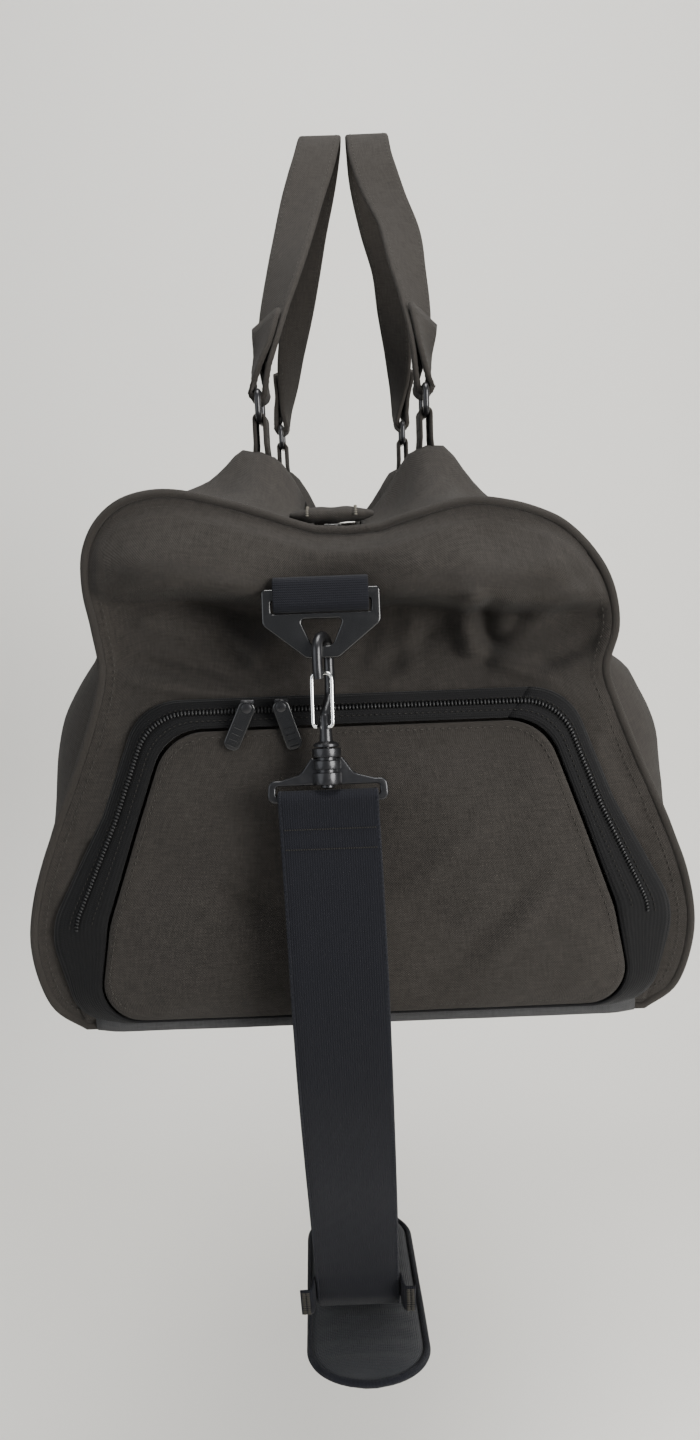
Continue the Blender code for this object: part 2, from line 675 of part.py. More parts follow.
def make_anchor_tab(name, side, end):
    radius = RING_WIRE + 0.0003 + TAB_THICKNESS / 2
    x = side * ANCHOR_X
    section = [(x + radius, TAB_BOTTOM_Z), (x + radius, LOWER_BAR_Z)]
    section += arc((x, LOWER_BAR_Z), radius, 0, 180, 8)
    section += [(x - radius, LOWER_BAR_Z), (x - radius, TAB_BOTTOM_Z)]
    centres = [(px, end * ANCHOR_Y, pz) for px, pz in section]
    ribbon(name, centres, [(0, 1, 0)] * len(centres), TAB_WIDTH, TAB_THICKNESS, "webbing", BAG)


def leg_side(point, along, side):
    """The width direction of a near leg: along Y low down, turning to X on the way up to the grip."""
    share = (point.z - TWIST_Z[0]) / (TWIST_Z[1] - TWIST_Z[0])
    share = min(1.0, max(0.0, share))
    angle = math.radians(90) * (1.0 - share * share * (3 - 2 * share))
    across = Vector((side * math.cos(angle), math.sin(angle), 0.0))
    return (across - across.dot(along) * along).normalized()


def half_handle(side, leg):
    """Middle points and width directions of the near half of a handle, from its tail's tip to the grip."""
    bar = Vector((side * ANCHOR_X, -ANCHOR_Y, UPPER_BAR_Z))
    foot = bar - Vector((side * HANDLE_TURN, 0, 0))
    rise = smooth_points([foot, foot + Vector((0, 0, 0.007))] + [Vector(p) for p in leg], 0.012)
    directions = []
    for i, point in enumerate(rise):
        along = (rise[min(i + 1, len(rise) - 1)] - rise[max(i - 1, 0)]).normalized()
        if i == len(rise) - 1:
            along = Vector((0, 1, 0))
        directions.append((along, leg_side(point, along, side)))
    centres = []
    sides = []
    for point, (along, across) in zip(rise, directions):
        if point.z <= TAIL_TOP_Z:
            out = across.cross(along)
            out = out if out.x * side > 0 else -out
            share = min(1.0, (point.z - UPPER_BAR_Z) / 0.022)
            gap = 2 * HANDLE_TURN + (HANDLE_GAP - 2 * HANDLE_TURN) * share
            centres.insert(0, point + out.normalized() * gap)
            sides.insert(0, across)
    turn = arc((bar.x, bar.z), HANDLE_TURN, 0 if side > 0 else 180, -180 if side > 0 else 360, 8)
    centres += [Vector((x, bar.y, z)) for x, z in turn]
    sides += [Vector((0, 1, 0))] * len(turn)
    centres += rise
    sides += [across for along, across in directions]
    return centres, sides


def make_handle(name, side, leg):
    centres, sides = half_handle(side, leg)
    centres += [Vector((p.x, -p.y, p.z)) for p in reversed(centres[:-1])]
    sides += [Vector((s.x, -s.y, s.z)) for s in reversed(sides[:-1])]
    for i in range(1, len(sides)):
        if sides[i].dot(sides[i - 1]) < 0:
            sides[i] = -sides[i]
    ribbon(name, centres, sides, HANDLE_WIDTH, HANDLE_THICKNESS, "canvas", BAG)


def make_handles():
    for word, side, leg in (("left", -1, LEFT_LEG), ("right", 1, RIGHT_LEG)):
        make_handle(f"handle_{word}", side, leg)
        for place, end in (("near", -1), ("far", 1)):
            make_handle_ring(f"handle_ring_{word}_{place}", side, end)
            make_anchor_tab(f"anchor_tab_{word}_{place}", side, end)


# --- ring and hook ----------------------------------------------------------------------------------------

def make_webbing_loop(name, side):
    """A flattened tube of webbing round the plate ring's top bar."""
    section = [(LOOP_TURN, -LOOP_HALF_HEIGHT), (LOOP_TURN, LOOP_HALF_HEIGHT)]
    section += arc((0, LOOP_HALF_HEIGHT), LOOP_TURN, 0, 180, 6)
    section += [(-LOOP_TURN, LOOP_HALF_HEIGHT), (-LOOP_TURN, -LOOP_HALF_HEIGHT)]
    section += arc((0, -LOOP_HALF_HEIGHT), LOOP_TURN, 180, 360, 6)
    centres = [(0.0, y, z) for y, z in section]
    place = Matrix.Translation((RING_X, side * RING_BAR_Y, RING_BAR_Z))
    place = place @ Matrix.Rotation(math.radians(side * RING_TILT), 4, "X")
    ribbon(name, centres, [(1, 0, 0)] * len(centres), LOOP_WIDTH, LOOP_THICKNESS,
           "webbing", BAG, True, place)


def make_plate_ring(name, side):
    edge = rounded([(0.0297, 0.0030, 0.002), (-0.0297, 0.0030, 0.002), (-0.0297, -0.0148, 0.003),
                    (-0.0080, -0.0322, 0.004), (0.0080, -0.0322, 0.004), (0.0297, -0.0148, 0.003)], 3)
    slot = rounded_box(0.0500, 0.0064, 0.0008, (0.0, -0.0062))
    hole = rounded([(0.0110, -0.0124, 0.0015), (-0.0110, -0.0124, 0.0015),
                    (-0.0052, -HOLE_BOTTOM, 0.003), (0.0052, -HOLE_BOTTOM, 0.003)], 3)
    tilt = Matrix.Rotation(math.radians(side * RING_TILT), 4, "X")
    place = Matrix.Translation((RING_X, side * RING_BAR_Y, RING_BAR_Z)) @ tilt @ upright(0, 0, 0)
    ring = add_object(name, plate_curve(name, (edge, slot, hole), PLATE_THICKNESS),
                      "black_plastic", BAG, place)
    as_mesh(ring)


def hook_frame(side):
    """The frame of a hook: its origin on the ring's contact, +Z up the stem, -Y away from the bag."""
    tilt = math.radians(RING_TILT)
    y = RING_BAR_Y + HOLE_BOTTOM * math.sin(tilt)
    z = RING_BAR_Z - HOLE_BOTTOM * math.cos(tilt)
    turn = Matrix.Rotation(math.radians(0 if side < 0 else 180), 4, "Z")
    lean = Matrix.Rotation(-math.radians(HOOK_TILT), 4, "X")
    return Matrix.Translation((RING_X, side * y, z)) @ turn @ lean


def make_hook(name, frame):
    """The hook's neck, flange and stem, turned as one piece, with its bow of round bar."""
    neck = -0.0338
    profile = ((0.0, neck), (0.0030, neck - 0.0006), (0.0030, -0.0487), (0.0064, -0.0492),
               (0.0064, -0.0507), (0.0024, -0.0508), (0.0024, -0.0698), (0.0034, -0.0698),
               (0.0034, -0.0712), (0.0, -0.0714))
    hook = add_object(name, turned_mesh(name, profile), "black_metal", frame)
    centre = BOW_TOP - BOW_RADIUS
    points = [(0, 0.0, neck - 0.010), (0, 0.0, neck - 0.002), (0, 0.0025, neck + 0.0025),
              (0, 0.0062, neck + 0.0070), (0, BOW_RADIUS, neck + 0.0125), (0, BOW_RADIUS, centre)]
    points += [(0, y, z) for y, z in arc((0, centre), BOW_RADIUS, 0, 180, 8)]
    points += [(0, -BOW_RADIUS, centre), (0, -BOW_RADIUS + 0.0001, -0.0115),
               (0, -BOW_RADIUS + 0.0008, NOSE_END)]
    bow = add_cutter(name + "_bow", wire_curve(name + "_bow", points, BOW_WIRE), frame)
    boolean(hook, as_mesh(bow), "UNION")


def make_gate(name, frame):
    foot, low = GATE_FOOT
    top, high = GATE_TOP
    half = GATE_HALF_WIDTH
    leg = [(0.0035, -foot, low), (0.0044, -foot, low), (half - 0.0004, -foot, low + 0.0012),
           (half, -(foot + top) / 2, (low + high) / 2), (half, -top, high - 0.002),
           (half - 0.0012, -top, high - 0.0004)]
    points = leg + [(-x, y, z) for x, y, z in reversed(leg)]
    add_object(name, wire_curve(name, points, GATE_WIRE), "steel_wire", frame)


def make_hook_loop(name, frame):
    """The strap's loop with the barrel that the hook's stem turns in."""
    low, high = BARREL_Z
    width = 0.0305
    bottom = LOOP_BAR_Z - LOOP_BAR_RADIUS
    slot_low = LOOP_BAR_Z + LOOP_BAR_RADIUS
    edge = rounded([(width - 0.006, -0.0652, 0.004), (0.007 - width, -0.0652, 0.004),
                    (-width, -0.0705, 0.003), (-width, bottom, 0.0025),
                    (width, bottom, 0.0025), (width, -0.0705, 0.003)], 3)
    slot = rounded_box(0.0520, 0.0052, 0.0012, (0.0, slot_low + 0.0026))
    loop = add_object(name, plate_curve(name, (edge, slot), LOOP_BAR_RADIUS * 2), "black_metal", frame,
                      Matrix.Rotation(math.radians(90), 4, "X"))
    loop = as_mesh(loop)
    r = BARREL_RADIUS
    step = (high - low) / 7
    groove = r - 0.0012
    profile = ((0.0, high), (r - 0.0008, high), (r, high - 0.0008), (r, high - 2 * step),
               (groove, high - 2.3 * step), (r, high - 2.6 * step), (r, high - 4.2 * step),
               (groove, high - 4.5 * step), (r, high - 4.8 * step),
               (r, low + 0.0008), (r - 0.0008, low), (0.0, low))
    barrel = add_cutter(name + "_barrel", turned_mesh(name + "_barrel", profile, 16), frame)
    boolean(loop, barrel, "UNION")
    hollow = cylinder_mesh(name + "_bore", BORE_RADIUS, low - 0.003, high + 0.003)
    bore = add_cutter(name + "_bore", hollow, frame)
    boolean(loop, bore, "DIFFERENCE")


def make_hooks():
    for word, side in (("near", -1), ("far", 1)):
        make_webbing_loop(f"webbing_loop_{word}", side)
        make_plate_ring(f"plate_ring_{word}", side)
        frame = add_empty(f"hook_frame_{word}", BAG, hook_frame(side))
        turned = add_empty(f"hook_turn_{word}", frame, Matrix.Rotation(math.radians(-HOOK_TURN), 4, "Z"))
        make_hook_loop(f"hook_loop_{word}", frame)
        make_hook(f"snap_hook_{word}", turned)
        make_gate(f"hook_gate_{word}", turned)


# --- the shoulder strap -----------------------------------------------------------------------------------

def strap_bar(side):
    """The middle of the loop's bar and the directions up the stem and out from the bag there."""
    frame = hook_frame(side)
    turn = frame.to_3x3()
    return frame @ Vector((0, 0, LOOP_BAR_Z)), turn @ Vector((0, 0, 1)), turn @ Vector((0, -1, 0))


def strap_line():
    """The strap's outer layer from the near bar, under the bag, to the far bar."""
    bar, _, out = strap_bar(-1)
    far_bar, _, far_out = strap_bar(1)
    route = [Vector(key) for key in STRAP_ROUTE]
    return smooth_points([bar + out * STRAP_TURN] + route + [far_bar + far_out * STRAP_TURN], STRAP_STEP)


def line_normals(points):
    """At each point of the strap, the direction towards the inside of its loop."""
    normals = []
    for i in range(len(points)):
        along = points[min(i + 1, len(points) - 1)] - points[max(i - 1, 0)]
        normals.append(Vector((0, -along.z, along.y)).normalized())
    return normals


def distances(points):
    total = [0.0]
    for a, b in zip(points, points[1:]):
        total.append(total[-1] + (b - a).length)
    return total


def folded_layer(points, normals, bar_gap, keep):
    """The layer that comes back from a bar inside the strap, for as long as keep says."""
    layer = []
    travelled = distances(points)
    for point, normal, run in zip(points, normals, travelled):
        if not keep(point):
            break
        share = min(1.0, run / 0.026)
        gap = bar_gap + (STRAP_LAYER - bar_gap) * share
        layer.append(point + normal * gap)
    return layer


def bar_turn(side):
    """The strap's turn over the loop's bar, from the inside to the outside."""
    bar, up, out = strap_bar(side)
    return [bar + up * (STRAP_TURN * math.sin(a)) - out * (STRAP_TURN * math.cos(a))
            for a in [math.radians(22.5 * k) for k in range(1, 8)]]


def at_distance(points, run):
    """The index of the point nearest to a distance along the strap."""
    travelled = distances(points)
    return min(range(len(points)), key=lambda i: abs(travelled[i] - run))


def weave(points, normals, middle):
    """Bend the strap over the adjuster's end bars and under its middle bar."""
    travelled = distances(points)
    centre = travelled[middle]
    slot = (ADJUSTER_SLOT[1] + ADJUSTER_BAR) / 2
    woven = []
    for point, normal, run in zip(points, normals, travelled):
        away = abs(run - centre)
        if away < 0.05:
            share = min(1.0, max(0.0, (away - slot + 0.0042) / 0.0084))
            rise = math.cos(math.pi * share) * ADJUSTER_WEAVE
            fade = min(1.0, max(0.0, (away - 0.018) / 0.020))
            point = point + normal * rise * (1.0 - fade)
        woven.append(point)
    return woven


def refine(points, middle, reach, step):
    """Add points to a stretch of the strap, so that it can bend through the adjuster."""
    fine = []
    for i, point in enumerate(points):
        fine.append(point)
        if abs(i - middle) * STRAP_STEP < reach and i + 1 < len(points):
            count = round((points[i + 1] - point).length / step)
            fine += [point.lerp(points[i + 1], k / count) for k in range(1, count)]
    return fine


def make_strap():
    line = strap_line()
    total = distances(line)[-1]
    middle = line[at_distance(line, total * ADJUSTER_S)]
    line = refine(line, at_distance(line, total * ADJUSTER_S), 0.035, 0.0024)
    normals = line_normals(line)
    centre = min(range(len(line)), key=lambda i: (line[i] - middle).length)
    near_tail = folded_layer(line, normals, 2 * STRAP_TURN, lambda p: p.z > NEAR_TAIL_Z)
    far_tail = folded_layer(line[::-1], normals[::-1], 2 * STRAP_TURN, lambda p: p.z > FAR_TAIL_Z)
    woven = weave(line, normals, centre)
    points = near_tail[::-1] + bar_turn(-1) + woven + bar_turn(1)[::-1] + far_tail
    widths = [(1, 0, 0)] * len(points)
    ribbon("shoulder_strap", points, widths, STRAP_WIDTH, STRAP_THICKNESS, "webbing", BAG)
    make_adjuster(line, normals, centre)
    make_pad_band(line, normals)


def make_adjuster(line, normals, middle):
    width, height = ADJUSTER_SIZE
    slot, opening = ADJUSTER_SLOT
    offset = (opening + ADJUSTER_BAR) / 2
    outlines = (rounded_box(width, height, 0.004), rounded_box(slot, opening, 0.0015, (0.0, offset)),
                rounded_box(slot, opening, 0.0015, (0.0, -offset)))
    along = (line[middle + 1] - line[middle - 1]).normalized()
    across = Vector((1, 0, 0))
    up = (along - along.dot(across) * across).normalized()
    facing = across.cross(up)
    place = Matrix((across, up, facing)).transposed().to_4x4()
    place.translation = line[middle]
    adjuster = add_object("strap_adjuster", plate_curve("strap_adjuster", outlines, ADJUSTER_THICKNESS),
                          "black_plastic", BAG, place)
    as_mesh(adjuster)


def make_pad_band(line, normals):
    travelled = distances(line)
    rows = []
    for step in range(5):
        run = BAND_SPAN[0] + (BAND_SPAN[1] - BAND_SPAN[0]) * step / 4
        i = max(k for k, value in enumerate(travelled) if value <= run)
        share = (run - travelled[i]) / (travelled[i + 1] - travelled[i])
        point = line[i].lerp(line[i + 1], share)
        normal = normals[i].lerp(normals[i + 1], share).normalized()
        rows.append([point + Vector((across, 0, 0)) + normal * above for across, above in PAD_BAND_CROSS])
    band = add_object("pad_band", sheet_mesh("pad_band", rows), "webbing", BAG)
    solidify(band, PAD_BAND_THICKNESS)


def make_pad():
    line = smooth_points(PAD_ROUTE, 0.012)
    travelled = distances(line)
    length = travelled[-1]
    rings = []
    for i, (point, run) in enumerate(zip(line, travelled)):
        along = (line[min(i + 1, len(line) - 1)] - line[max(i - 1, 0)]).normalized()
        up = Vector((0, -along.z, along.y)).normalized()
        inset = max(0.0, PAD_END_ROUND - min(run, length - run)) / PAD_END_ROUND
        half = PAD_HALF_WIDTH * math.sqrt(max(0.06, 1.0 - inset ** 2))
        thick = PAD_HALF_THICKNESS
        section = ((half, 0), (half - 0.003, thick), (0.003 - half, thick), (-half, 0),
                   (0.003 - half, -thick), (half - 0.003, -thick))
        rings.append([point + Vector((x, 0, 0)) + up * z for x, z in section])
    add_object("shoulder_pad", loft_mesh("shoulder_pad", rings), "pad_mesh", BAG)


clear_scene()
PARTS = make_collection("duffel_bag")
CUTTERS = make_collection("cutters")
BAG = add_empty("bag_frame", None, Matrix.Translation((0.0, 0.0, -GRIP_TOP)))

make_base()
make_side_panel("side_panel_left", -1)
make_side_panel("side_panel_right", 1)
make_top_panels()
make_end_panel("end_panel_near", -1)
make_end_panel("end_panel_far", 1)
make_piping("piping_near", -1)
make_piping("piping_far", 1)
make_main_zip()
make_top_slider()
make_pocket_sliders(*make_pocket())
make_handles()
make_hooks()
make_strap()
make_pad()
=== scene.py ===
"""Builds the finished look of a canvas duffel bag round its fixed frame.

All heights below are measured from the underside of the bag's base, and at() lifts them into place.
The bag's long way is Y, with the pocket end at -Y, its width is X and its height Z.
"""

import math

import bmesh
import bpy
from mathutils import Matrix, Vector, noise


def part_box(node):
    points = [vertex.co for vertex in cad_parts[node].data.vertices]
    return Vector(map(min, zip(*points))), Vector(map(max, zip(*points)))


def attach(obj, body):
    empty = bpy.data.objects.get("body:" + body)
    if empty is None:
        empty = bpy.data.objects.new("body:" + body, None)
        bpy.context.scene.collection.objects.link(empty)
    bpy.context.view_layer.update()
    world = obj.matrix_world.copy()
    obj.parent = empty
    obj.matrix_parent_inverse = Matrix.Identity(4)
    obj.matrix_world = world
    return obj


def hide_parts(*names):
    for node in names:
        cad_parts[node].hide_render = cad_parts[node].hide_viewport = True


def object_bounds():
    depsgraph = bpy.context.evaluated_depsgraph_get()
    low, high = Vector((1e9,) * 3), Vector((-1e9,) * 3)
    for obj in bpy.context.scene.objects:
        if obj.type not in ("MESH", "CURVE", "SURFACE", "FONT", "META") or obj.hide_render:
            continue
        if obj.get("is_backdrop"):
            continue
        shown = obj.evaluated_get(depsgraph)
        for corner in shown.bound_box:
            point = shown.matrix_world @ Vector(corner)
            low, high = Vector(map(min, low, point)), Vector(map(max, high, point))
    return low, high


bl_info = {
    "name": "Duffel Bag",
    "version": (1, 0, 0),
    "blender": (4, 5, 0),
    "location": "3D View > Sidebar > Duffel",
    "description": "Makes a canvas duffel bag with its zips, handles, hooks and padded strap",
    "category": "Add Mesh",
}

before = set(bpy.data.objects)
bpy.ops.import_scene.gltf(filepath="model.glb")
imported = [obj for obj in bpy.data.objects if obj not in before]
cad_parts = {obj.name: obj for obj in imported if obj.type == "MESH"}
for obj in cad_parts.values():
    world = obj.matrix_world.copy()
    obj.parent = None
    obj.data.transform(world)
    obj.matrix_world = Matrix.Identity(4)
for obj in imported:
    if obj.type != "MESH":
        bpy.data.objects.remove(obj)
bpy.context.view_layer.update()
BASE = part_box("base_panel")[0].z          # world height of the base's underside

# --- the bag's body ---------------------------------------------------------------------------------
HALF_LENGTH = 0.2362
END_Y = 0.238
WALL = 0.003
BODY_EDGE = {               # (x, z) of each half's outline, from the base over the shoulder to the zip
    -1: ((0.1555, 0.0015), (0.1720, 0.0150), (0.1795, 0.0450), (0.1755, 0.0750), (0.1630, 0.1100),
         (0.1500, 0.1400), (0.1380, 0.1700), (0.1300, 0.1980), (0.1318, 0.2220), (0.1348, 0.2430),
         (0.1330, 0.2620), (0.1245, 0.2765), (0.1110, 0.2855), (0.0900, 0.2880), (0.0600, 0.2812),
         (0.0300, 0.2712), (0.0165, 0.2670)),
    1: ((0.1555, 0.0015), (0.1720, 0.0150), (0.1795, 0.0450), (0.1755, 0.0750), (0.1630, 0.1100),
        (0.1500, 0.1400), (0.1380, 0.1700), (0.1315, 0.1920), (0.1365, 0.2140), (0.1330, 0.2350),
        (0.1225, 0.2530), (0.1070, 0.2670), (0.0860, 0.2755), (0.0600, 0.2785), (0.0300, 0.2712),
        (0.0165, 0.2670)),
}
SHOULDER = {-1: (0.1245, 0.2765), 1: (0.1225, 0.2530)}
MIDDLE_TOP = 0.2660
END_INSET = 0.0006
PIPING_RADIUS = 0.0024
PIPING_OFFSET = 0.0016
ANCHOR_X = 0.050
ANCHOR_Y = 0.120
TENT_HEIGHT = 0.0375
TENT_SPREAD = (0.021, 0.030)
TENT_RIDGE = 0.013
TENT_TOP = 0.008

# --- the zips ---------------------------------------------------------------------------------------
ZIP_X = -0.008
ZIP_GAP = 0.0170                          # from the zip's middle to the top panels
ZIP_HALF_LENGTH = 0.214
ZIP_Z = 0.2622
CHAIN_Z = 0.2640
STOP_Y = 0.2250
STOP_Z = 0.2762
STOP_WIDTH = 0.044
POCKET_Y = 0.2520
POCKET_CORNERS = (
    (0.097, 0.168, 0.028), (0.1175, 0.113, 0.05), (0.135, 0.064, 0.05), (0.1450, 0.0095, 0.020),
)
BAND_CORNERS = (
    (0.112, 0.183, 0.030), (0.1365, 0.122, 0.05), (0.1715, 0.058, 0.04), (0.158, 0.0040, 0.022),
)
POCKET_GAP = 0.0017
BAND_Y = (0.2411, 0.2516)
POCKET_PULLS = (("left", -0.0550, -25.0), ("right", -0.0375, 17.0))
PULL_Y = 0.2562
PULL_SIZE = (0.0088, 0.0270)

# --- handles ----------------------------------------------------------------------------------------
LOWER_BAR_Z = 0.334
UPPER_BAR_Z = 0.350
RING_HALF_WIDTH = 0.018
RING_WIRE = 0.0019
HANDLE_WIDTH = 0.029
HANDLE_THICKNESS = 0.0035
HANDLE_TURN = 0.0042
HANDLE_GAP = 0.0041
TAIL_TOP_Z = 0.394
TWIST_Z = (0.352, 0.500)
GRIP_Z = 0.5315
LEFT_LEG = (
    (-0.0455, -0.1195, 0.364), (-0.0425, -0.115, 0.380), (-0.0390, -0.101, 0.402),
    (-0.0322, -0.083, 0.430), (-0.0262, -0.063, 0.456), (-0.0202, -0.044, 0.482),
    (-0.0125, -0.026, 0.509), (-0.0085, -0.012, 0.5265), (-0.0078, 0.0, GRIP_Z),
)
RIGHT_LEG = (
    (0.0465, -0.1195, 0.364), (0.0475, -0.115, 0.380), (0.0472, -0.101, 0.402),
    (0.0440, -0.083, 0.430), (0.0412, -0.063, 0.456), (0.0330, -0.044, 0.482),
    (0.0262, -0.026, 0.509), (0.0243, -0.012, 0.5265), (0.0238, 0.0, GRIP_Z),
)

# --- ring, hook and shoulder strap --------------------------------------------------------------------
RING_X = -0.0148
RING_BAR_Y = 0.2573
RING_BAR_Z = 0.237
RING_TILT = 12.0
LOOP_WIDTH = 0.048
LOOP_TURN = 0.0034
LOOP_HALF_HEIGHT = 0.0047
HOLE_BOTTOM = 0.0258
HOOK_TILT = 10.3
HOOK_TURN = 20.0
BOW_RADIUS = 0.008
BOW_WIRE = 0.0026
BOW_TOP = 0.0046
BARREL_RADIUS = 0.0073
LOOP_BAR_Z = -0.0765
LOOP_BAR_RADIUS = 0.0016
GATE_WIRE = 0.0010
STRAP_WIDTH = 0.050
STRAP_THICKNESS = 0.002
STRAP_TURN = 0.0035
STRAP_STEP = 0.014
STRAP_FINE_STEP = 0.0030      # spacing of the points that the webbing is drawn through
STRAP_LAYER = 0.0025
NEAR_TAIL_Z = -0.145
FAR_TAIL_Z = 0.001
STRAP_ROUTE = (
    (-0.0147, -0.2795, 0.128), (-0.0142, -0.2812, 0.112), (-0.0135, -0.2845, 0.080),
    (-0.0128, -0.2868, 0.035), (-0.0122, -0.2800, -0.020), (-0.0116, -0.2640, -0.075),
    (-0.0111, -0.2460, -0.125), (-0.0108, -0.2310, -0.170), (-0.0107, -0.2235, -0.193),
    (-0.0106, -0.2130, -0.2055), (-0.0105, -0.1980, -0.2135), (-0.0105, -0.1700, -0.2190),
    (-0.0108, -0.1100, -0.2270), (-0.0112, -0.0400, -0.2320), (-0.0118, 0.0300, -0.2280),
    (-0.0124, 0.1000, -0.2050), (-0.0130, 0.1600, -0.1620), (-0.0135, 0.2050, -0.1080),
    (-0.0139, 0.2400, -0.0450), (-0.0143, 0.2660, 0.0200), (-0.0145, 0.2775, 0.0750),
    (-0.0147, 0.2800, 0.1120), (-0.0148, 0.2795, 0.1280),
)
PAD_HALF_WIDTH = 0.036
PAD_HALF_THICKNESS = 0.0055
PAD_END_ROUND = 0.034
PAD_ROUTE = (
    (-0.0050, -0.2680, -0.2125), (-0.0055, -0.2450, -0.2170), (-0.0062, -0.2200, -0.2205),
    (-0.0070, -0.1950, -0.2235), (-0.0080, -0.1700, -0.2268), (-0.0090, -0.1400, -0.2310),
    (-0.0100, -0.1100, -0.2350), (-0.0105, -0.0820, -0.2378),
)
BAND_SPAN = (0.320, 0.342)
ADJUSTER_S = 0.842
ADJUSTER_SIZE = (0.058, 0.032)
ADJUSTER_SLOT = (0.0515, 0.0095)
ADJUSTER_BAR = 0.0042
ADJUSTER_WEAVE = 0.0029

FINISHES = {}


# --- shader maths -------------------------------------------------------------------------------------

class Signal:
    """A shader socket that takes part in sums and products."""

    def __init__(self, finish, socket):
        self.finish = finish
        self.socket = socket

    def math(self, operation, *others):
        inputs = dict(enumerate((self, *others)))
        return self.finish.node("ShaderNodeMath", {"operation": operation}, inputs)

    def __add__(self, other):
        return self.math("ADD", other)

    def __radd__(self, other):
        return self.math("ADD", other)

    def __sub__(self, other):
        return self.math("SUBTRACT", other)

    def __rsub__(self, other):
        return self.finish.node("ShaderNodeMath", {"operation": "SUBTRACT"}, {0: other, 1: self})

    def __mul__(self, other):
        return self.math("MULTIPLY", other)

    def __rmul__(self, other):
        return self.math("MULTIPLY", other)

    def __pow__(self, other):
        return self.math("POWER", other)


class Finish:
    """One material, with its constants on the shader's own sockets."""

    def __init__(self, name, constants):
        self.material = bpy.data.materials.new(name)
        self.material.use_nodes = True
        self.tree = self.material.node_tree
        self.shader = self.tree.nodes["Principled BSDF"]
        for socket, value in constants.items():
            self.feed(self.shader.inputs[socket], value)
        FINISHES[name] = self.material

    def feed(self, socket, value):
        if isinstance(value, Signal):
            self.tree.links.new(value.socket, socket)
        else:
            socket.default_value = value

    def node(self, kind, settings=None, inputs=None, output=0):
        """Add a node: its settings first, then the values or links of its sockets."""
        made = self.tree.nodes.new(kind)
        for key, value in (settings or {}).items():
            setattr(made, key, value)
        for key, value in (inputs or {}).items():
            self.feed(made.inputs[key], value)
        return Signal(self, made.outputs[output])

    def cloth_plane(self):
        """How far across and along the cloth a place is, in metres."""
        place = self.node("ShaderNodeTexCoord", output="UV")
        parts = self.node("ShaderNodeSeparateXYZ", inputs={0: place})
        return place, parts, Signal(self, parts.socket.node.outputs[1])

    def stretched(self, place, scale, detail=2.0):
        """Noise with its own scale in each direction, from 0 to 1."""
        moved = self.node("ShaderNodeVectorMath", {"operation": "MULTIPLY"}, {0: place, 1: scale})
        return self.node("ShaderNodeTexNoise", None, {"Vector": moved, "Scale": 1.0, "Detail": detail})

    def solid_place(self):
        return self.node("ShaderNodeTexCoord", output="Object")

    def mixed(self, share, first, second):
        """A colour between two colours."""
        made = self.node("ShaderNodeMix", {"data_type": "RGBA"}, {0: share, 6: first, 7: second}, output=2)
        return made

    def bump(self, height, distance, strength=1.0):
        relief = self.node("ShaderNodeBump", None,
                           {"Strength": strength, "Distance": distance, "Height": height})
        self.feed(self.shader.inputs["Normal"], relief)

    def set(self, name, value):
        self.feed(self.shader.inputs[name], value)


def rgba(colour, level=1.0):
    return tuple(channel * level for channel in colour) + (1.0,)


def make_canvas(name, colour, pitch, paler_by=0.0):
    """Heathered canvas: warp and weft threads of uneven shade, softly rubbed in places, and lifted paler as a
    whole by paler_by, which on the handles, their tabs and the piping is a painted highlight.
    """
    finish = Finish(name, {"Roughness": 0.95, "Sheen Weight": 0.04, "Sheen Roughness": 0.5,
                           "Specular IOR Level": 0.12})
    place, across, along = finish.cloth_plane()
    turns = 2 * math.pi / pitch
    weave = (across * turns).math("SINE") * (along * turns).math("SINE")
    warp = finish.stretched(place, (1.0 / pitch, 0.16 / pitch, 1.0))
    weft = finish.stretched(place, (0.16 / pitch, 1.0 / pitch, 1.0))
    threads = warp * 0.5 + weft * 0.5
    patches = finish.stretched(finish.solid_place(), (14.0, 14.0, 14.0), 4.0)
    # paler_by lifts every thread paler: on the handles, their tabs and the piping it is a painted highlight
    # for the light their folded edges and round cord catch
    shade = threads * 1.5 - 0.42 + (patches - 0.5) * 0.55 + weave * 0.10 + paler_by
    shade = shade.math("MAXIMUM", 0.0).math("MINIMUM", 1.0)
    finish.set("Base Color", finish.mixed(shade, rgba(colour, 0.66), rgba(colour, 1.42)))
    finish.bump(weave * 0.5 + threads, 0.0006, 0.55)
    return finish


def make_webbing(name, colour, rib, cross, depth=0.0004):
    """Woven tape: lengthwise ribs crossed by a finer weft."""
    finish = Finish(name, {"Roughness": 0.85, "Sheen Weight": 0.05, "Sheen Roughness": 0.4,
                           "Specular IOR Level": 0.20})
    place, across, along = finish.cloth_plane()
    ribs = (across * (2 * math.pi / rib)).math("SINE")
    wefts = (along * (2 * math.pi / cross) + ribs * 1.5).math("SINE")
    fibres = finish.stretched(place, (900.0, 90.0, 1.0))
    height = ribs * 0.5 + wefts * 0.3 + fibres * 0.6
    shade = (height * 0.35 + 0.25).math("MAXIMUM", 0.0).math("MINIMUM", 1.0)
    finish.set("Base Color", finish.mixed(shade, rgba(colour, 0.62), rgba(colour, 1.7)))
    finish.bump(height, depth, 0.6)
    return finish


def make_hard(name, colour, roughness, metallic, grain, coat=0.0):
    """Moulded plastic or lacquered metal with a faint uneven skin and hairline handling marks."""
    finish = Finish(name, {"Metallic": metallic, "Coat Weight": coat, "Coat Roughness": 0.12})
    place = finish.solid_place()
    skin = finish.stretched(place, (420.0, 420.0, 420.0), 3.0)
    marks = finish.stretched(place, (260.0, 40.0, 260.0), 2.0)
    finish.set("Base Color", finish.mixed(marks, rgba(colour, 0.8), rgba(colour, 1.3)))
    finish.set("Roughness", roughness + (skin - 0.5) * grain + (marks - 0.5) * grain)
    finish.bump(skin, 0.00002, 0.30)
    return finish


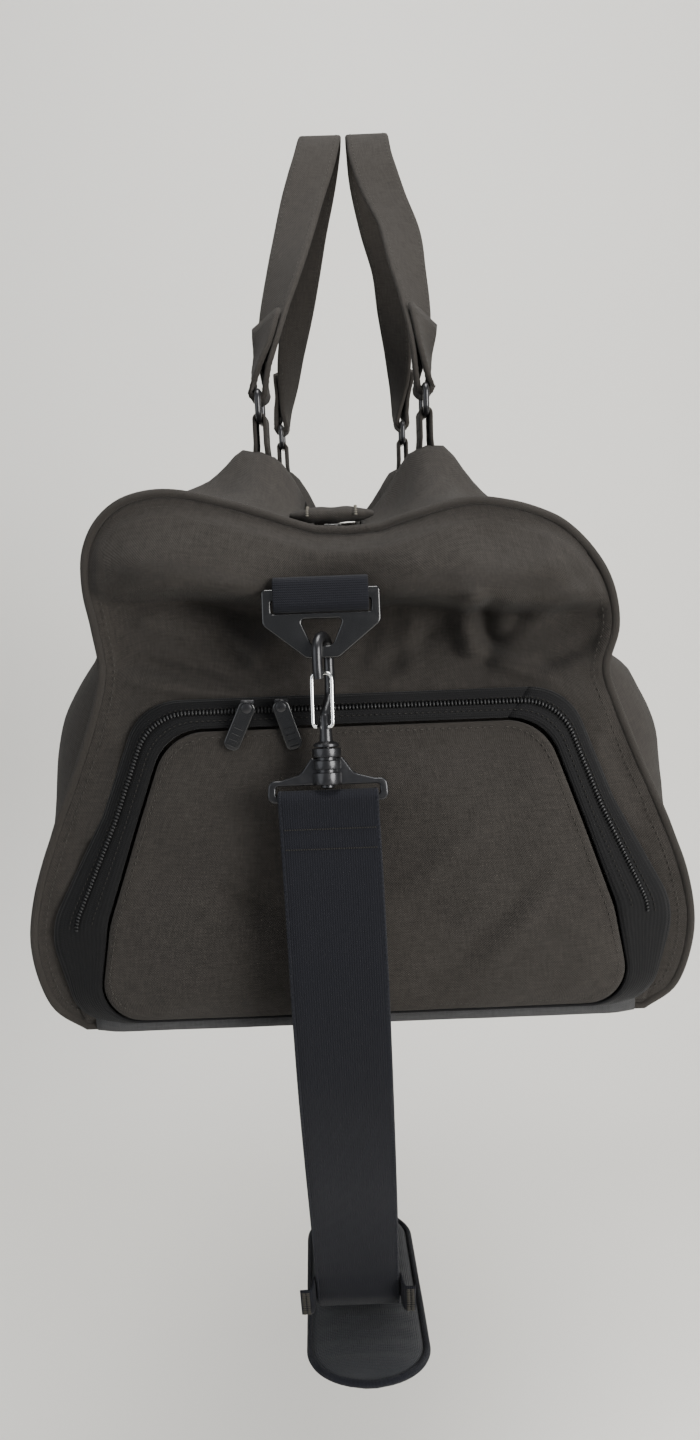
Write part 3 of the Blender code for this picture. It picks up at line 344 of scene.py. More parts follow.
def make_ribbed(name, colour, pitch):
    """Pad cloth: a fine honeycomb knit."""
    finish = Finish(name, {"Roughness": 0.88, "Sheen Weight": 0.08, "Sheen Roughness": 0.5,
                           "Specular IOR Level": 0.2})
    place, across, along = finish.cloth_plane()
    turns = 2 * math.pi / pitch
    knit = ((across + along) * turns).math("SINE") * ((across - along) * turns).math("SINE")
    fibres = finish.stretched(place, (700.0, 700.0, 1.0))
    shade = (knit * 0.35 + fibres * 0.5 + 0.1).math("MAXIMUM", 0.0).math("MINIMUM", 1.0)
    finish.set("Base Color", finish.mixed(shade, rgba(colour, 0.55), rgba(colour, 1.7)))
    finish.bump(knit + fibres * 0.6, 0.0005, 0.6)
    return finish


def make_plain(name, colour, roughness):
    """Wall and floor paint with a faint roller texture."""
    finish = Finish(name, {"Roughness": roughness, "Specular IOR Level": 0.1})
    spots = finish.stretched(finish.solid_place(), (1.4, 1.4, 1.4), 3.0)
    finish.set("Base Color", finish.mixed(spots, rgba(colour, 0.97), rgba(colour, 1.02)))
    return finish


# --- mesh helpers -------------------------------------------------------------------------------------

def at(point):
    """A point measured from the base's underside, in the frame's own place."""
    return Vector((point[0], point[1], point[2] + BASE))


def finish_of(name):
    if name not in FINISHES:
        raise RuntimeError(f"the finish {name} isn't made yet: run Duffel Finishes first")
    return FINISHES[name]


def add_piece(name, data, finish, body="bag", stands_for=()):
    """Link a piece, finish it, and let it ride on its body."""
    obj = bpy.data.objects.new(name, data)
    bpy.context.scene.collection.objects.link(obj)
    data.materials.append(finish_of(finish))
    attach(obj, body)
    if stands_for:
        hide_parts(*stands_for)
    return obj


def lengths(points):
    total = [0.0]
    for a, b in zip(points, points[1:]):
        total.append(total[-1] + (b - a).length)
    return total


def smooth_line(keys, step):
    """Points about a step apart on a smooth curve through the keys."""
    keys = [Vector(key) for key in keys]
    ends = [keys[0] * 2 - keys[1]] + keys + [keys[-1] * 2 - keys[-2]]
    points = [keys[0]]
    for a, b, c, d in zip(ends, ends[1:], ends[2:], ends[3:]):
        count = max(1, round((c - b).length / step))
        for i in range(1, count + 1):
            t = i / count
            points.append(0.5 * ((2 * b) + (c - a) * t + (2 * a - 5 * b + 4 * c - d) * t * t
                                 + (3 * b - a - 3 * c + d) * t ** 3))
    return points


def arc(centre, radius, start, end, steps):
    angles = [math.radians(start + (end - start) * i / steps) for i in range(steps + 1)]
    return [(centre[0] + radius * math.cos(a), centre[1] + radius * math.sin(a)) for a in angles]


def rounded(corners, steps=6):
    """A closed outline through (x, y, radius) corners, each replaced by an arc of its radius."""
    outline = []
    count = len(corners)
    for i, (x, y, radius) in enumerate(corners):
        here = Vector((x, y))
        before = Vector(corners[i - 1][:2]) - here
        after = Vector(corners[(i + 1) % count][:2]) - here
        half = before.angle(after) / 2
        start = here + before.normalized() * (radius / math.tan(half))
        end = here + after.normalized() * (radius / math.tan(half))
        centre = here + (before.normalized() + after.normalized()).normalized() * (radius / math.sin(half))
        first = math.atan2(start.y - centre.y, start.x - centre.x)
        turn = math.atan2(end.y - centre.y, end.x - centre.x) - first
        turn = (turn + math.pi) % (2 * math.pi) - math.pi
        for k in range(steps + 1):
            angle = first + turn * k / steps
            outline.append((centre.x + radius * math.cos(angle), centre.y + radius * math.sin(angle)))
    return outline


def rounded_box(width, height, radius, middle=(0.0, 0.0)):
    x, y = width / 2, height / 2
    corners = ((x, y), (-x, y), (-x, -y), (x, -y))
    return rounded([(middle[0] + cx, middle[1] + cy, radius) for cx, cy in corners])


def interpolate(table, value):
    """The second column of a table at a value of its first, on straight lines."""
    for (a, first), (b, second) in zip(table, table[1:]):
        if value <= b:
            share = min(1.0, max(0.0, (value - a) / (b - a)))
            return first + (second - first) * share
    return table[-1][1]


def bell(value, middle, width):
    return math.exp(-((value - middle) / width) ** 2)


def step_up(value, start, end):
    """0 before start, 1 after end, and smooth between them."""
    share = min(1.0, max(0.0, (value - start) / (end - start)))
    return share * share * (3 - 2 * share)


def grain(x, y, z, scale, seed):
    return noise.noise(Vector((x * scale + seed, y * scale - seed, z * scale + 0.5 * seed)))


def sheet(name, rows, wrap=False):
    """A smooth surface through rows of points, with its cloth plane measured in metres."""
    mesh = bmesh.new()
    grid = [[mesh.verts.new(point) for point in row] for row in rows]
    middle = rows[len(rows) // 2]
    across = lengths(middle)
    along = lengths([row[len(row) // 2] for row in rows])
    layer = mesh.loops.layers.uv.new("cloth")
    count = len(rows[0])
    last = count if wrap else count - 1
    if wrap:
        across.append(across[-1] + (middle[-1] - middle[0]).length)
    for r in range(len(rows) - 1):
        for c in range(last):
            n = (c + 1) % count
            face = mesh.faces.new((grid[r][c], grid[r][n], grid[r + 1][n], grid[r + 1][c]))
            face.smooth = True
            places = ((across[c], along[r]), (across[c + 1], along[r]),
                      (across[c + 1], along[r + 1]), (across[c], along[r + 1]))
            for loop, place in zip(face.loops, places):
                loop[layer].uv = place
    data = bpy.data.meshes.new(name)
    mesh.to_mesh(data)
    mesh.free()
    return data


def thicken(obj, thickness, offset=0.0):
    modifier = obj.modifiers.new("thickness", "SOLIDIFY")
    modifier.thickness = thickness
    modifier.offset = offset
    return obj


def closed_loft(name, rings):
    """A closed solid through rings of points, capped at both ends."""
    data = sheet(name, rings, wrap=True)
    mesh = bmesh.new()
    mesh.from_mesh(data)
    mesh.verts.ensure_lookup_table()
    count = len(rings[0])
    total = len(rings)
    mesh.faces.new([mesh.verts[i] for i in reversed(range(count))])
    mesh.faces.new([mesh.verts[(total - 1) * count + i] for i in range(count)])
    bmesh.ops.recalc_face_normals(mesh, faces=mesh.faces)
    mesh.to_mesh(data)
    mesh.free()
    return data


def flat_section(width, thickness, steps=5):
    """The outline of a flat band with round edges, as (across, above) points."""
    half = width / 2 - thickness / 2
    right = [(half + x, y) for x, y in arc((0, 0), thickness / 2, -90, 90, steps)]
    left = [(-half + x, y) for x, y in arc((0, 0), thickness / 2, 90, 270, steps)]
    top = [(half * (1 - 2 * k / 8), thickness / 2) for k in range(1, 8)]
    low = [(-half * (1 - 2 * k / 8), -thickness / 2) for k in range(1, 8)]
    return right + top + left + low


def band(name, centres, sides, width, thickness):
    """A flat strap along its middle points, each with the direction of its width."""
    rings = []
    section = flat_section(width, thickness)
    for i, (centre, side) in enumerate(zip(centres, sides)):
        before = centres[max(i - 1, 0)]
        after = centres[min(i + 1, len(centres) - 1)]
        along = (after - before).normalized()
        side = (Vector(side) - Vector(side).dot(along) * along).normalized()
        above = side.cross(along).normalized()
        rings.append([at(centre + side * x + above * y) for x, y in section])
    return closed_loft(name, rings)


def rod(name, points, radius, loop=False, sides=12, lift=True):
    """A round wire or cord through the points, as a mesh."""
    curve = bpy.data.curves.new(name, "CURVE")
    curve.dimensions = "3D"
    spline = curve.splines.new("POLY")
    spline.points.add(len(points) - 1)
    for item, point in zip(spline.points, points):
        place = at(point) if lift else Vector(point)
        item.co = (*place, 1.0)
    spline.use_cyclic_u = loop
    curve.bevel_depth = radius
    curve.bevel_resolution = max(1, sides // 4)
    curve.use_fill_caps = not loop
    return curve_mesh(name, curve)


def curve_mesh(name, curve):
    """The mesh of a curve, welded and smooth."""
    holder = bpy.data.objects.new(name + "_curve", curve)
    bpy.context.scene.collection.objects.link(holder)
    bpy.context.view_layer.update()
    graph = bpy.context.evaluated_depsgraph_get()
    data = bpy.data.meshes.new_from_object(holder.evaluated_get(graph))
    bpy.data.objects.remove(holder)
    bpy.data.curves.remove(curve)
    data.materials.clear()
    mesh = bmesh.new()
    mesh.from_mesh(data)
    bmesh.ops.remove_doubles(mesh, verts=mesh.verts, dist=0.00001)
    mesh.to_mesh(data)
    mesh.free()
    data.shade_smooth()
    data.set_sharp_from_angle(angle=math.radians(40))
    data.name = name
    return data


def plate(name, outlines, thickness, edge, place):
    """A flat plate with rounded edges: the first outline is its edge, the others are holes."""
    curve = bpy.data.curves.new(name, "CURVE")
    curve.dimensions = "2D"
    curve.fill_mode = "BOTH"
    curve.extrude = thickness / 2 - edge
    curve.bevel_depth = edge
    curve.bevel_resolution = 3
    curve.offset = -edge
    for outline in outlines:
        spline = curve.splines.new("POLY")
        spline.points.add(len(outline) - 1)
        for item, point in zip(spline.points, outline):
            item.co = (*point, 0.0, 1.0)
        spline.use_cyclic_u = True
    data = curve_mesh(name, curve)
    data.transform(place)
    return data


def turned(name, profile, steps, place):
    """A solid turned about its own Z from (radius, height) points, from one end to the other."""
    rings = []
    for radius, height in profile:
        angles = [2 * math.pi * k / steps for k in range(steps)]
        rings.append([place @ Vector((radius * math.cos(a), radius * math.sin(a), height)) for a in angles])
    data = closed_loft(name, rings)
    data.set_sharp_from_angle(angle=math.radians(40))
    return data


def joined(name, meshes):
    """One mesh made of several."""
    mesh = bmesh.new()
    for data in meshes:
        mesh.from_mesh(data)
        bpy.data.meshes.remove(data)
    data = bpy.data.meshes.new(name)
    mesh.to_mesh(data)
    mesh.free()
    data.set_sharp_from_angle(angle=math.radians(40))
    return data


def grains(name, places, size):
    """Many small rounded grains, each at a place given as a matrix: stitches or zip teeth."""
    mesh = bmesh.new()
    bmesh.ops.create_icosphere(mesh, subdivisions=1, radius=1.0)
    mesh.verts.ensure_lookup_table()
    corners = [Vector(a * b for a, b in zip(vert.co, size)) for vert in mesh.verts]
    sides = [[vert.index for vert in face.verts] for face in mesh.faces]
    mesh.free()
    points = [place @ corner for place in places for corner in corners]
    faces = [[i + k * len(corners) for i in side] for k in range(len(places)) for side in sides]
    data = bpy.data.meshes.new(name)
    data.from_pydata(points, [], faces)
    data.shade_smooth()
    return data


def frame_at(point, along, facing):
    """A matrix with its X along a line and its Z away from the surface under it."""
    along = Vector(along).normalized()
    facing = (Vector(facing) - Vector(facing).dot(along) * along).normalized()
    across = facing.cross(along)
    place = Matrix((along, across, facing)).transposed().to_4x4()
    place.translation = at(point)
    return place


def stitch_places(line, facings, pitch):
    """Places a stitch apart along a line."""
    run = lengths(line)
    places = []
    for k in range(1, int(run[-1] / pitch)):
        want = k * pitch
        i = max(j for j, value in enumerate(run) if value <= want)
        i = min(i, len(line) - 2)
        share = (want - run[i]) / max(1e-9, run[i + 1] - run[i])
        facing = Vector(facings[i]).lerp(Vector(facings[i + 1]), share)
        places.append(frame_at(line[i].lerp(line[i + 1], share), line[i + 1] - line[i], facing))
    return places


# --- settings -----------------------------------------------------------------------------------------

def colour_setting(name, description, default):
    return bpy.props.FloatVectorProperty(name=name, description=description, default=default, size=3,
                                         subtype="COLOR", min=0.0, max=1.0)


def length_setting(name, description, default, highest):
    return bpy.props.FloatProperty(name=name, description=description, default=default, min=0.0,
                                   max=highest, precision=4, subtype="DISTANCE", unit="LENGTH")


class DuffelColours(bpy.types.PropertyGroup):
    canvas: colour_setting("Canvas", "Colour of the body and the handles", (0.0335, 0.0300, 0.0268))
    underside: colour_setting("Underside", "Colour of the coated cloth under the bag", (0.052, 0.052, 0.053))
    webbing: colour_setting("Webbing", "Colour of the shoulder strap", (0.0056, 0.0060, 0.0090))
    tape: colour_setting("Zip tape", "Colour of the zip tapes and the pocket's band",
                         (0.0050, 0.0050, 0.0054))
    pad: colour_setting("Pad cloth", "Colour of the shoulder pad", (0.0240, 0.0255, 0.0290))
    plastic: colour_setting("Moulding", "Colour of the ring, the pulls and the adjuster",
                            (0.0060, 0.0060, 0.0064))
    metal: colour_setting("Lacquered metal", "Colour of the hooks and sliders", (0.030, 0.030, 0.032))
    wire: colour_setting("Bright wire", "Colour of the hook gates", (0.80, 0.80, 0.78))
    thread: colour_setting("Thread", "Colour of the stitches on canvas", (0.040, 0.037, 0.032))
    bartack: colour_setting("Bartack thread", "Colour of the bartacks", (0.13, 0.12, 0.10))
    wall: colour_setting("Wall", "Colour of the wall and the floor", (0.80, 0.785, 0.745))


class DuffelSizes(bpy.types.PropertyGroup):
    fold: length_setting("Upper fold", "How far the upper fold stands out of the end", 0.0120, 0.013)
    tuck: length_setting("Tuck", "How far the end tucks in under its fold", 0.0190, 0.024)
    wrinkle: length_setting("Wrinkles", "Depth of the body's soft wrinkles", 0.0042, 0.010)
    bulge: length_setting("Pocket bulge", "How far the pocket panel swells", 0.0050, 0.007)
    weave: length_setting("Canvas weave", "Distance between two threads of the canvas", 0.0013, 0.005)
    stitch: length_setting("Stitch", "Length of one stitch and its gap", 0.0036, 0.010)
    belly: length_setting("Belly", "How far the sides swell behind the pinched ends", 0.0260, 0.030)


# --- body panels ----------------------------------------------------------------------------------------

def edge_line(side):
    """One half's outline as a smooth line in the XZ plane."""
    return smooth_line([(x, 0, z) for x, z in BODY_EDGE[side]], 0.0030)


def edge_tables(side):
    """Half width against height below the shoulder, and height against half width above it."""
    line = edge_line(side)
    shoulder = Vector((SHOULDER[side][0], 0, SHOULDER[side][1]))
    split = min(range(len(line)), key=lambda i: (line[i] - shoulder).length)
    widths = [(p.z, p.x) for p in line[:split + 1]]
    tops = [(0.0, MIDDLE_TOP)] + [(p.x, p.z) for p in reversed(line[split:])]
    return widths, tops


def tent(x, y):
    """How far the peak under a handle's anchor lifts the top."""
    across = max(0.0, abs(abs(x) - ANCHOR_X) - TENT_TOP) / TENT_SPREAD[0]
    along = max(0.0, abs(abs(y) - ANCHOR_Y) - TENT_RIDGE) / TENT_SPREAD[1]
    return TENT_HEIGHT * math.exp(-across ** 1.45 - along ** 1.4)


def drape(point):
    """The soft, uneven lie of filled canvas at a place on the body, in metres along its normal."""
    x, y, z = point
    broad = grain(x, y, z, 9.0, 3.1)
    folds = 1.0 - abs(grain(x * 0.7, y * 1.5, z * 1.2, 17.0, 8.4)) * 2.6
    fine = grain(x, y, z, 46.0, 1.7)
    return 0.55 * broad + 0.42 * folds + 0.16 * fine - 0.25


def pull_folds(x, y):
    """Folds that run down from each anchor's peak, as the load gathers the canvas."""
    dx = abs(x) - ANCHOR_X
    dy = abs(y) - ANCHOR_Y
    away = math.hypot(dx, dy)
    angle = math.atan2(dy, dx)
    return math.cos(angle * 7.0 + x * 20.0) * bell(away, 0.040, 0.022)


def shell_rows(side, sizes):
    """Rows of points over one half of the bag, from the base over the shoulder to the zip."""
    profile = [Vector((x, 0, z)) for x, z in BODY_EDGE[side][:-1]]
    profile.append(Vector((ZIP_GAP + side * ZIP_X, 0, BODY_EDGE[side][-1][1])))
    line = smooth_line(profile, 0.0052)
    run = lengths(line)
    normals = []
    for i in range(len(line)):
        along = line[min(i + 1, len(line) - 1)] - line[max(i - 1, 0)]
        normals.append(Vector((along.z, 0, -along.x)).normalized())
    count = 92
    rows = []
    for k in range(count + 1):
        y = -HALF_LENGTH + 2 * HALF_LENGTH * k / count
        ends = min(1.0, (HALF_LENGTH - abs(y)) / 0.045)
        ends = ends * (2 - ends)
        row = []
        for point, normal, travelled in zip(line, normals, run):
            edge = min(1.0, travelled / 0.03, (run[-1] - travelled) / 0.03)
            place = Vector((side * point.x, y, point.z))
            lift = drape(place) * sizes.wrinkle * ends * max(0.0, edge)
            lift += sizes.belly * bell(point.z, 0.155, 0.055) * ends
            top = step_up(point.z, 0.262, 0.272) * edge
            peak = tent(point.x, y) * step_up(point.z, 0.255, 0.266)
            lift += pull_folds(point.x, y) * 0.0028 * top
            out = Vector((side * normal.x, 0, normal.z)) * (lift - WALL * 0.5)
            row.append(at(place + out + Vector((0, 0, peak))))
        rows.append(row)
    return rows


def make_shells(sizes):
    for word, side in (("left", -1), ("right", 1)):
        data = sheet(f"canvas_shell_{word}", shell_rows(side, sizes))
        stands_for = (f"side_panel_{word}", f"top_panel_{word}")
        shell = add_piece(f"canvas_shell_{word}", data, "canvas", "bag", stands_for)
        thicken(shell, WALL * 0.8)


CREASES = (                 # (x, z) of both ends, half width and height of each fold in the near end
    (-0.130, 0.208, -0.060, 0.187, 0.0055, -0.0065), (-0.120, 0.197, -0.072, 0.184, 0.0045, 0.0045),
    (-0.108, 0.224, -0.045, 0.207, 0.0075, 0.0060), (-0.085, 0.235, -0.040, 0.221, 0.0050, -0.0040),
    (0.134, 0.205, 0.084, 0.184, 0.0055, -0.0075), (0.124, 0.196, 0.078, 0.184, 0.0045, 0.0045),
    (0.061, 0.231, 0.062, 0.204, 0.0050, 0.0085), (0.072, 0.229, 0.074, 0.206, 0.0048, -0.0075),
    (0.064, 0.203, 0.102, 0.186, 0.0052, 0.0060), (0.050, 0.216, 0.018, 0.194, 0.0060, -0.0042),
    (0.116, 0.231, 0.082, 0.213, 0.0065, 0.0055), (-0.032, 0.226, -0.054, 0.197, 0.0050, 0.0040),
    (0.012, 0.224, 0.004, 0.196, 0.0052, -0.0030), (0.034, 0.226, 0.030, 0.196, 0.0050, 0.0042),
    (0.104, 0.246, 0.060, 0.236, 0.0100, 0.0045), (-0.110, 0.252, -0.055, 0.240, 0.0100, 0.0040),
    (0.092, 0.220, 0.070, 0.196, 0.0048, -0.0060), (-0.070, 0.214, -0.050, 0.190, 0.0042, -0.0045),
    (-0.126, 0.150, -0.142, 0.110, 0.0060, 0.0030), (0.128, 0.150, 0.146, 0.108, 0.0060, 0.0034),
)


def crease_height(x, z):
    """The sum of the folds that the pull of the ring gathers in the end."""
    height = 0.0
    here = Vector((x, z))
    for ax, az, bx, bz, width, depth in CREASES:
        start = Vector((ax, az))
        way = Vector((bx, bz)) - start
        share = (here - start).dot(way) / way.length_squared
        near = start + way * min(1.0, max(0.0, share))
        taper = step_up(share, -0.35, 0.15) * (1 - step_up(share, 0.80, 1.30))
        height += depth * bell((here - near).length, 0.0, width) * (0.35 + 0.65 * taper)
    return height * max(step_up(z, 0.181, 0.192), step_up(abs(x), 0.118, 0.130))


def end_depth(x, z, share, sizes):
    """How far the near end stands out of its plane: a fold over a tuck, and the creases round both."""
    middle = max(0.0, 1.0 - share ** 2)
    lip = 0.2335 - 0.060 * x + 0.0015 * math.sin(x * 60.0)
    over = step_up(z, lip - 0.0055, lip + 0.0055) * bell(max(0.0, z - lip - 0.014), 0.0, 0.022)
    under = (1 - step_up(z, lip - 0.0075, lip + 0.0030)) * step_up(z, lip - 0.050, lip - 0.018)
    puckers = grain(x, 0.0, z * 0.6, 42.0, 5.2) * bell(z, 0.243, 0.028)
    free = 1.0 - bell(x, RING_X, 0.036)
    fold = sizes.fold * (1.0 + 0.65 * free)
    depth = fold * middle ** 0.6 * over - sizes.tuck * middle ** 0.7 * under
    return depth + (crease_height(x, z) + 0.0014 * puckers) * min(1.0, middle * 2.5)


def end_rows(side, sizes):
    tables = {half: edge_tables(half) for half in (-1, 1)}
    shares = [math.sin(math.radians(-90 + 180 * k / 110)) for k in range(111)]
    rows = []
    for k in range(151):
        rise = (k / 150) ** 0.92
        row = []
        for share in shares:
            half = -1 if share < 0 else 1
            widths, tops = tables[half]
            shoulder = widths[-1][0]
            low = widths[0][0]
            level = low + (shoulder - low) * rise
            x = abs(share) * (interpolate(widths, level) - END_INSET)
            top = interpolate(tops, x) if x < widths[-1][1] else shoulder
            z = low + (top - END_INSET - low) * rise
            x = x if share > 0 else -x
            edge = max(0.0, min(1.0, (1 - abs(share)) / 0.04, k / 6, (150 - k) / 6))
            depth = end_depth(x if side < 0 else -x, z, share, sizes) * edge
            depth += 0.0011 * edge * grain(x, side, z, 55.0, 2.2)
            row.append(at((x, side * (END_Y + depth), z)))
        rows.append(row)
    return rows


def make_ends(sizes):
    for word, side in (("near", -1), ("far", 1)):
        data = sheet(f"canvas_end_{word}", end_rows(side, sizes))
        end = add_piece(f"canvas_end_{word}", data, "canvas", "bag", (f"end_panel_{word}",))
        thicken(end, WALL * 0.8)


def body_outline(offset):
    """The body's closed outline in the XZ plane, moved out by an offset."""
    left = [Vector((-p.x, 0, p.z)) for p in edge_line(-1)]
    right = [Vector((p.x, 0, p.z)) for p in reversed(edge_line(1))]
    base = [Vector((0.1480 - 0.2960 * k / 60, 0, 0.0016)) for k in range(61)]
    loop = left + [Vector((0, 0, MIDDLE_TOP))] + right + base
    outline = []
    for i, point in enumerate(loop):
        along = loop[(i + 2) % len(loop)] - loop[i - 2]
        outline.append(point + Vector((-along.z, 0, along.x)).normalized() * offset)
    return outline


def make_piping(sizes):
    outline = body_outline(PIPING_OFFSET)
    for word, side in (("near", -1), ("far", 1)):
        points = []
        for point in outline:
            wander = 0.0005 * grain(point.x, side, point.z, 60.0, 4.0)
            points.append(Vector((point.x, side * (END_Y + wander), point.z + wander)))
        data = rod(f"piping_cord_{word}", points, PIPING_RADIUS, loop=True, sides=16)
        add_piece(f"piping_cord_{word}", data, "piping", "bag", (f"piping_{word}",))
        seam = []
        facings = []
        for point in body_outline(-0.0052):
            seam.append(Vector((point.x, side * (END_Y + 0.0019), point.z)))
            facings.append((0, side, 0))
        places = stitch_places(seam, facings, sizes.stitch)
        data = grains(f"end_seam_{word}", places, (0.0011, 0.0003, 0.0003))
        add_piece(f"end_seam_{word}", data, "thread")


def make_base():
    """The coated base with its turned-up hem, corner patches and inner board."""
    half_x = 0.1533
    rows = []
    for k in range(49):
        y = -HALF_LENGTH + 0.001 + (2 * HALF_LENGTH - 0.002) * k / 48
        row = []
        for i in range(41):
            x = -half_x + 2 * half_x * i / 40
            sag = 0.0006 * grain(x, y, 0.0, 20.0, 6.0) * min(1.0, (half_x - abs(x)) / 0.02)
            row.append(at((x, y, 0.0015 + sag)))
        rows.append(row)
    base = add_piece("coated_base", sheet("coated_base", rows), "underside", "bag", ("base_panel",))
    thicken(base, WALL * 0.9)
    for word, side in (("near", -1), ("far", 1)):
        hem_rows = []
        for above, out in ((0.0092, 0.0078), (0.0078, 0.0094), (0.0040, 0.0100), (0.0005, 0.0088),
                           (-0.0018, 0.0050)):
            row = []
            for i in range(61):
                x = -0.1500 + 0.3000 * i / 60
                ends = min(1.0, (0.1500 - abs(x)) / 0.012)
                wave = 0.0004 * grain(x, side, 0.0, 40.0, 7.0)
                row.append(at((x, side * (END_Y + out * (0.35 + 0.65 * ends) + wave), above + wave)))
            hem_rows.append(row)
        hem = add_piece(f"base_hem_{word}", sheet(f"base_hem_{word}", hem_rows), "underside")
        thicken(hem, 0.0009)
        for left_right, across in (("left", -1), ("right", 1)):
            patch_rows = []
            for k in range(7):
                z = 0.0050 + 0.0105 * k / 6
                patch_rows.append([at((across * (0.122 + 0.034 * i / 12 + 0.0006 * k),
                                       side * (END_Y + 0.0030), z)) for i in range(13)])
            name = f"corner_patch_{left_right}_{word}"
            patch = add_piece(name, sheet(name, patch_rows), "canvas")
            thicken(patch, 0.0010)
            seam = [Vector((across * (0.1235 + 0.0006 * k), side * (END_Y + 0.0037), 0.0052 + 0.0017 * k))
                    for k in range(7)]
            places = stitch_places(seam, [(0, side, 0)] * 7, 0.0026)
            data = grains(name + "_stitch", places, (0.0009, 0.0004, 0.0003))
            add_piece(name + "_stitch", data, "bartack")
    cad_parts["base_board"].data.materials.clear()
    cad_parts["base_board"].data.materials.append(finish_of("board"))


# --- main zip -------------------------------------------------------------------------------------------

def make_main_zip():
    for word, side in (("left", -1), ("right", 1)):
        rows = []
        for k in range(121):
            y = -ZIP_HALF_LENGTH + 2 * ZIP_HALF_LENGTH * k / 120
            ripple = 0.0006 * math.sin(y * 55.0 + side)
            rows.append([at((ZIP_X + side * across, y, ZIP_Z + above + ripple)) for across, above in
                         ((0.0028, 0.0003), (0.0050, 0.0001), (0.0080, 0.0004), (0.0115, 0.0010),
                          (0.0155, 0.0020))])
        if side > 0:
            rows = [row[::-1] for row in rows]
        data = sheet(f"zip_cloth_{word}", rows)
        tape = add_piece(f"zip_cloth_{word}", data, "tape", "bag", (f"zip_tape_{word}",))
        thicken(tape, 0.0008)
    teeth = []
    pitch = 0.0019
    for k in range(int(2 * ZIP_HALF_LENGTH / pitch)):
        y = -ZIP_HALF_LENGTH + pitch * (k + 0.5)
        side = 1 if k % 2 else -1
        place = Matrix.Translation(at((ZIP_X + side * 0.0008, y, CHAIN_Z)))
        teeth.append(place @ Matrix.Rotation(side * 0.25, 4, "Z"))
    data = grains("zip_teeth", teeth, (0.0024, 0.00085, 0.0011))
    add_piece("zip_teeth", data, "coil", "bag", ("zip_chain",))
    for word, side in (("near", -1), ("far", 1)):
        make_stop(word, side)


def make_stop(word, side):
    """The end of the zip: a soft roll of folded tape held by two bartacks."""
    rings = []
    for i in range(29):
        across = -1 + 2 * i / 28
        bulge = (1 - abs(across) ** 3.2)
        x = ZIP_X + across * (STOP_WIDTH / 2)
        height = 0.0012 + 0.0030 * bulge
        depth = 0.0030 + 0.0066 * bulge
        ring = []
        for a in [2 * math.pi * k / 20 for k in range(20)]:
            ripple = 1 + 0.07 * math.sin(x * 420 + a)
            ring.append(at((x, side * STOP_Y + depth * math.cos(a) * ripple,
                            STOP_Z - 0.0004 + height * math.sin(a) * ripple)))
        rings.append(ring)
    data = closed_loft(f"zip_end_roll_{word}", rings)
    roll = add_piece(f"zip_end_roll_{word}", data, "canvas", "bag", (f"zip_stop_{word}",))
    places = []
    for x in (ZIP_X - 0.0125, ZIP_X + 0.0125):
        for k in range(9):
            angle = math.radians(60 + 15 * k) if side < 0 else math.radians(-60 + 15 * k)
            out = Vector((0, math.cos(angle) * 0.0098, math.sin(angle) * 0.0044))
            point = Vector((x, side * STOP_Y, STOP_Z - 0.0004)) + out
            places.append(frame_at(point, (1, 0, 0), (0, out.y * 0.3, out.z + 0.002)))
    data = grains(f"zip_end_bartacks_{word}", places, (0.0010, 0.0006, 0.0004))
    add_piece(f"zip_end_bartacks_{word}", data, "bartack")


# --- end pocket -----------------------------------------------------------------------------------------

def mirrored_outline(corners, steps=9):
    left = [(-x, z, radius) for x, z, radius in reversed(corners)]
    return rounded(list(corners) + left, steps)


def pocket_width(outline):
    """Half the pocket panel's width against height, from its outline."""
    right = sorted({(round(z, 6), x) for x, z in outline if x > 0})
    return [(z, max(x for other, x in right if abs(other - z) < 1e-6)) for z in sorted({z for z, x in right})]


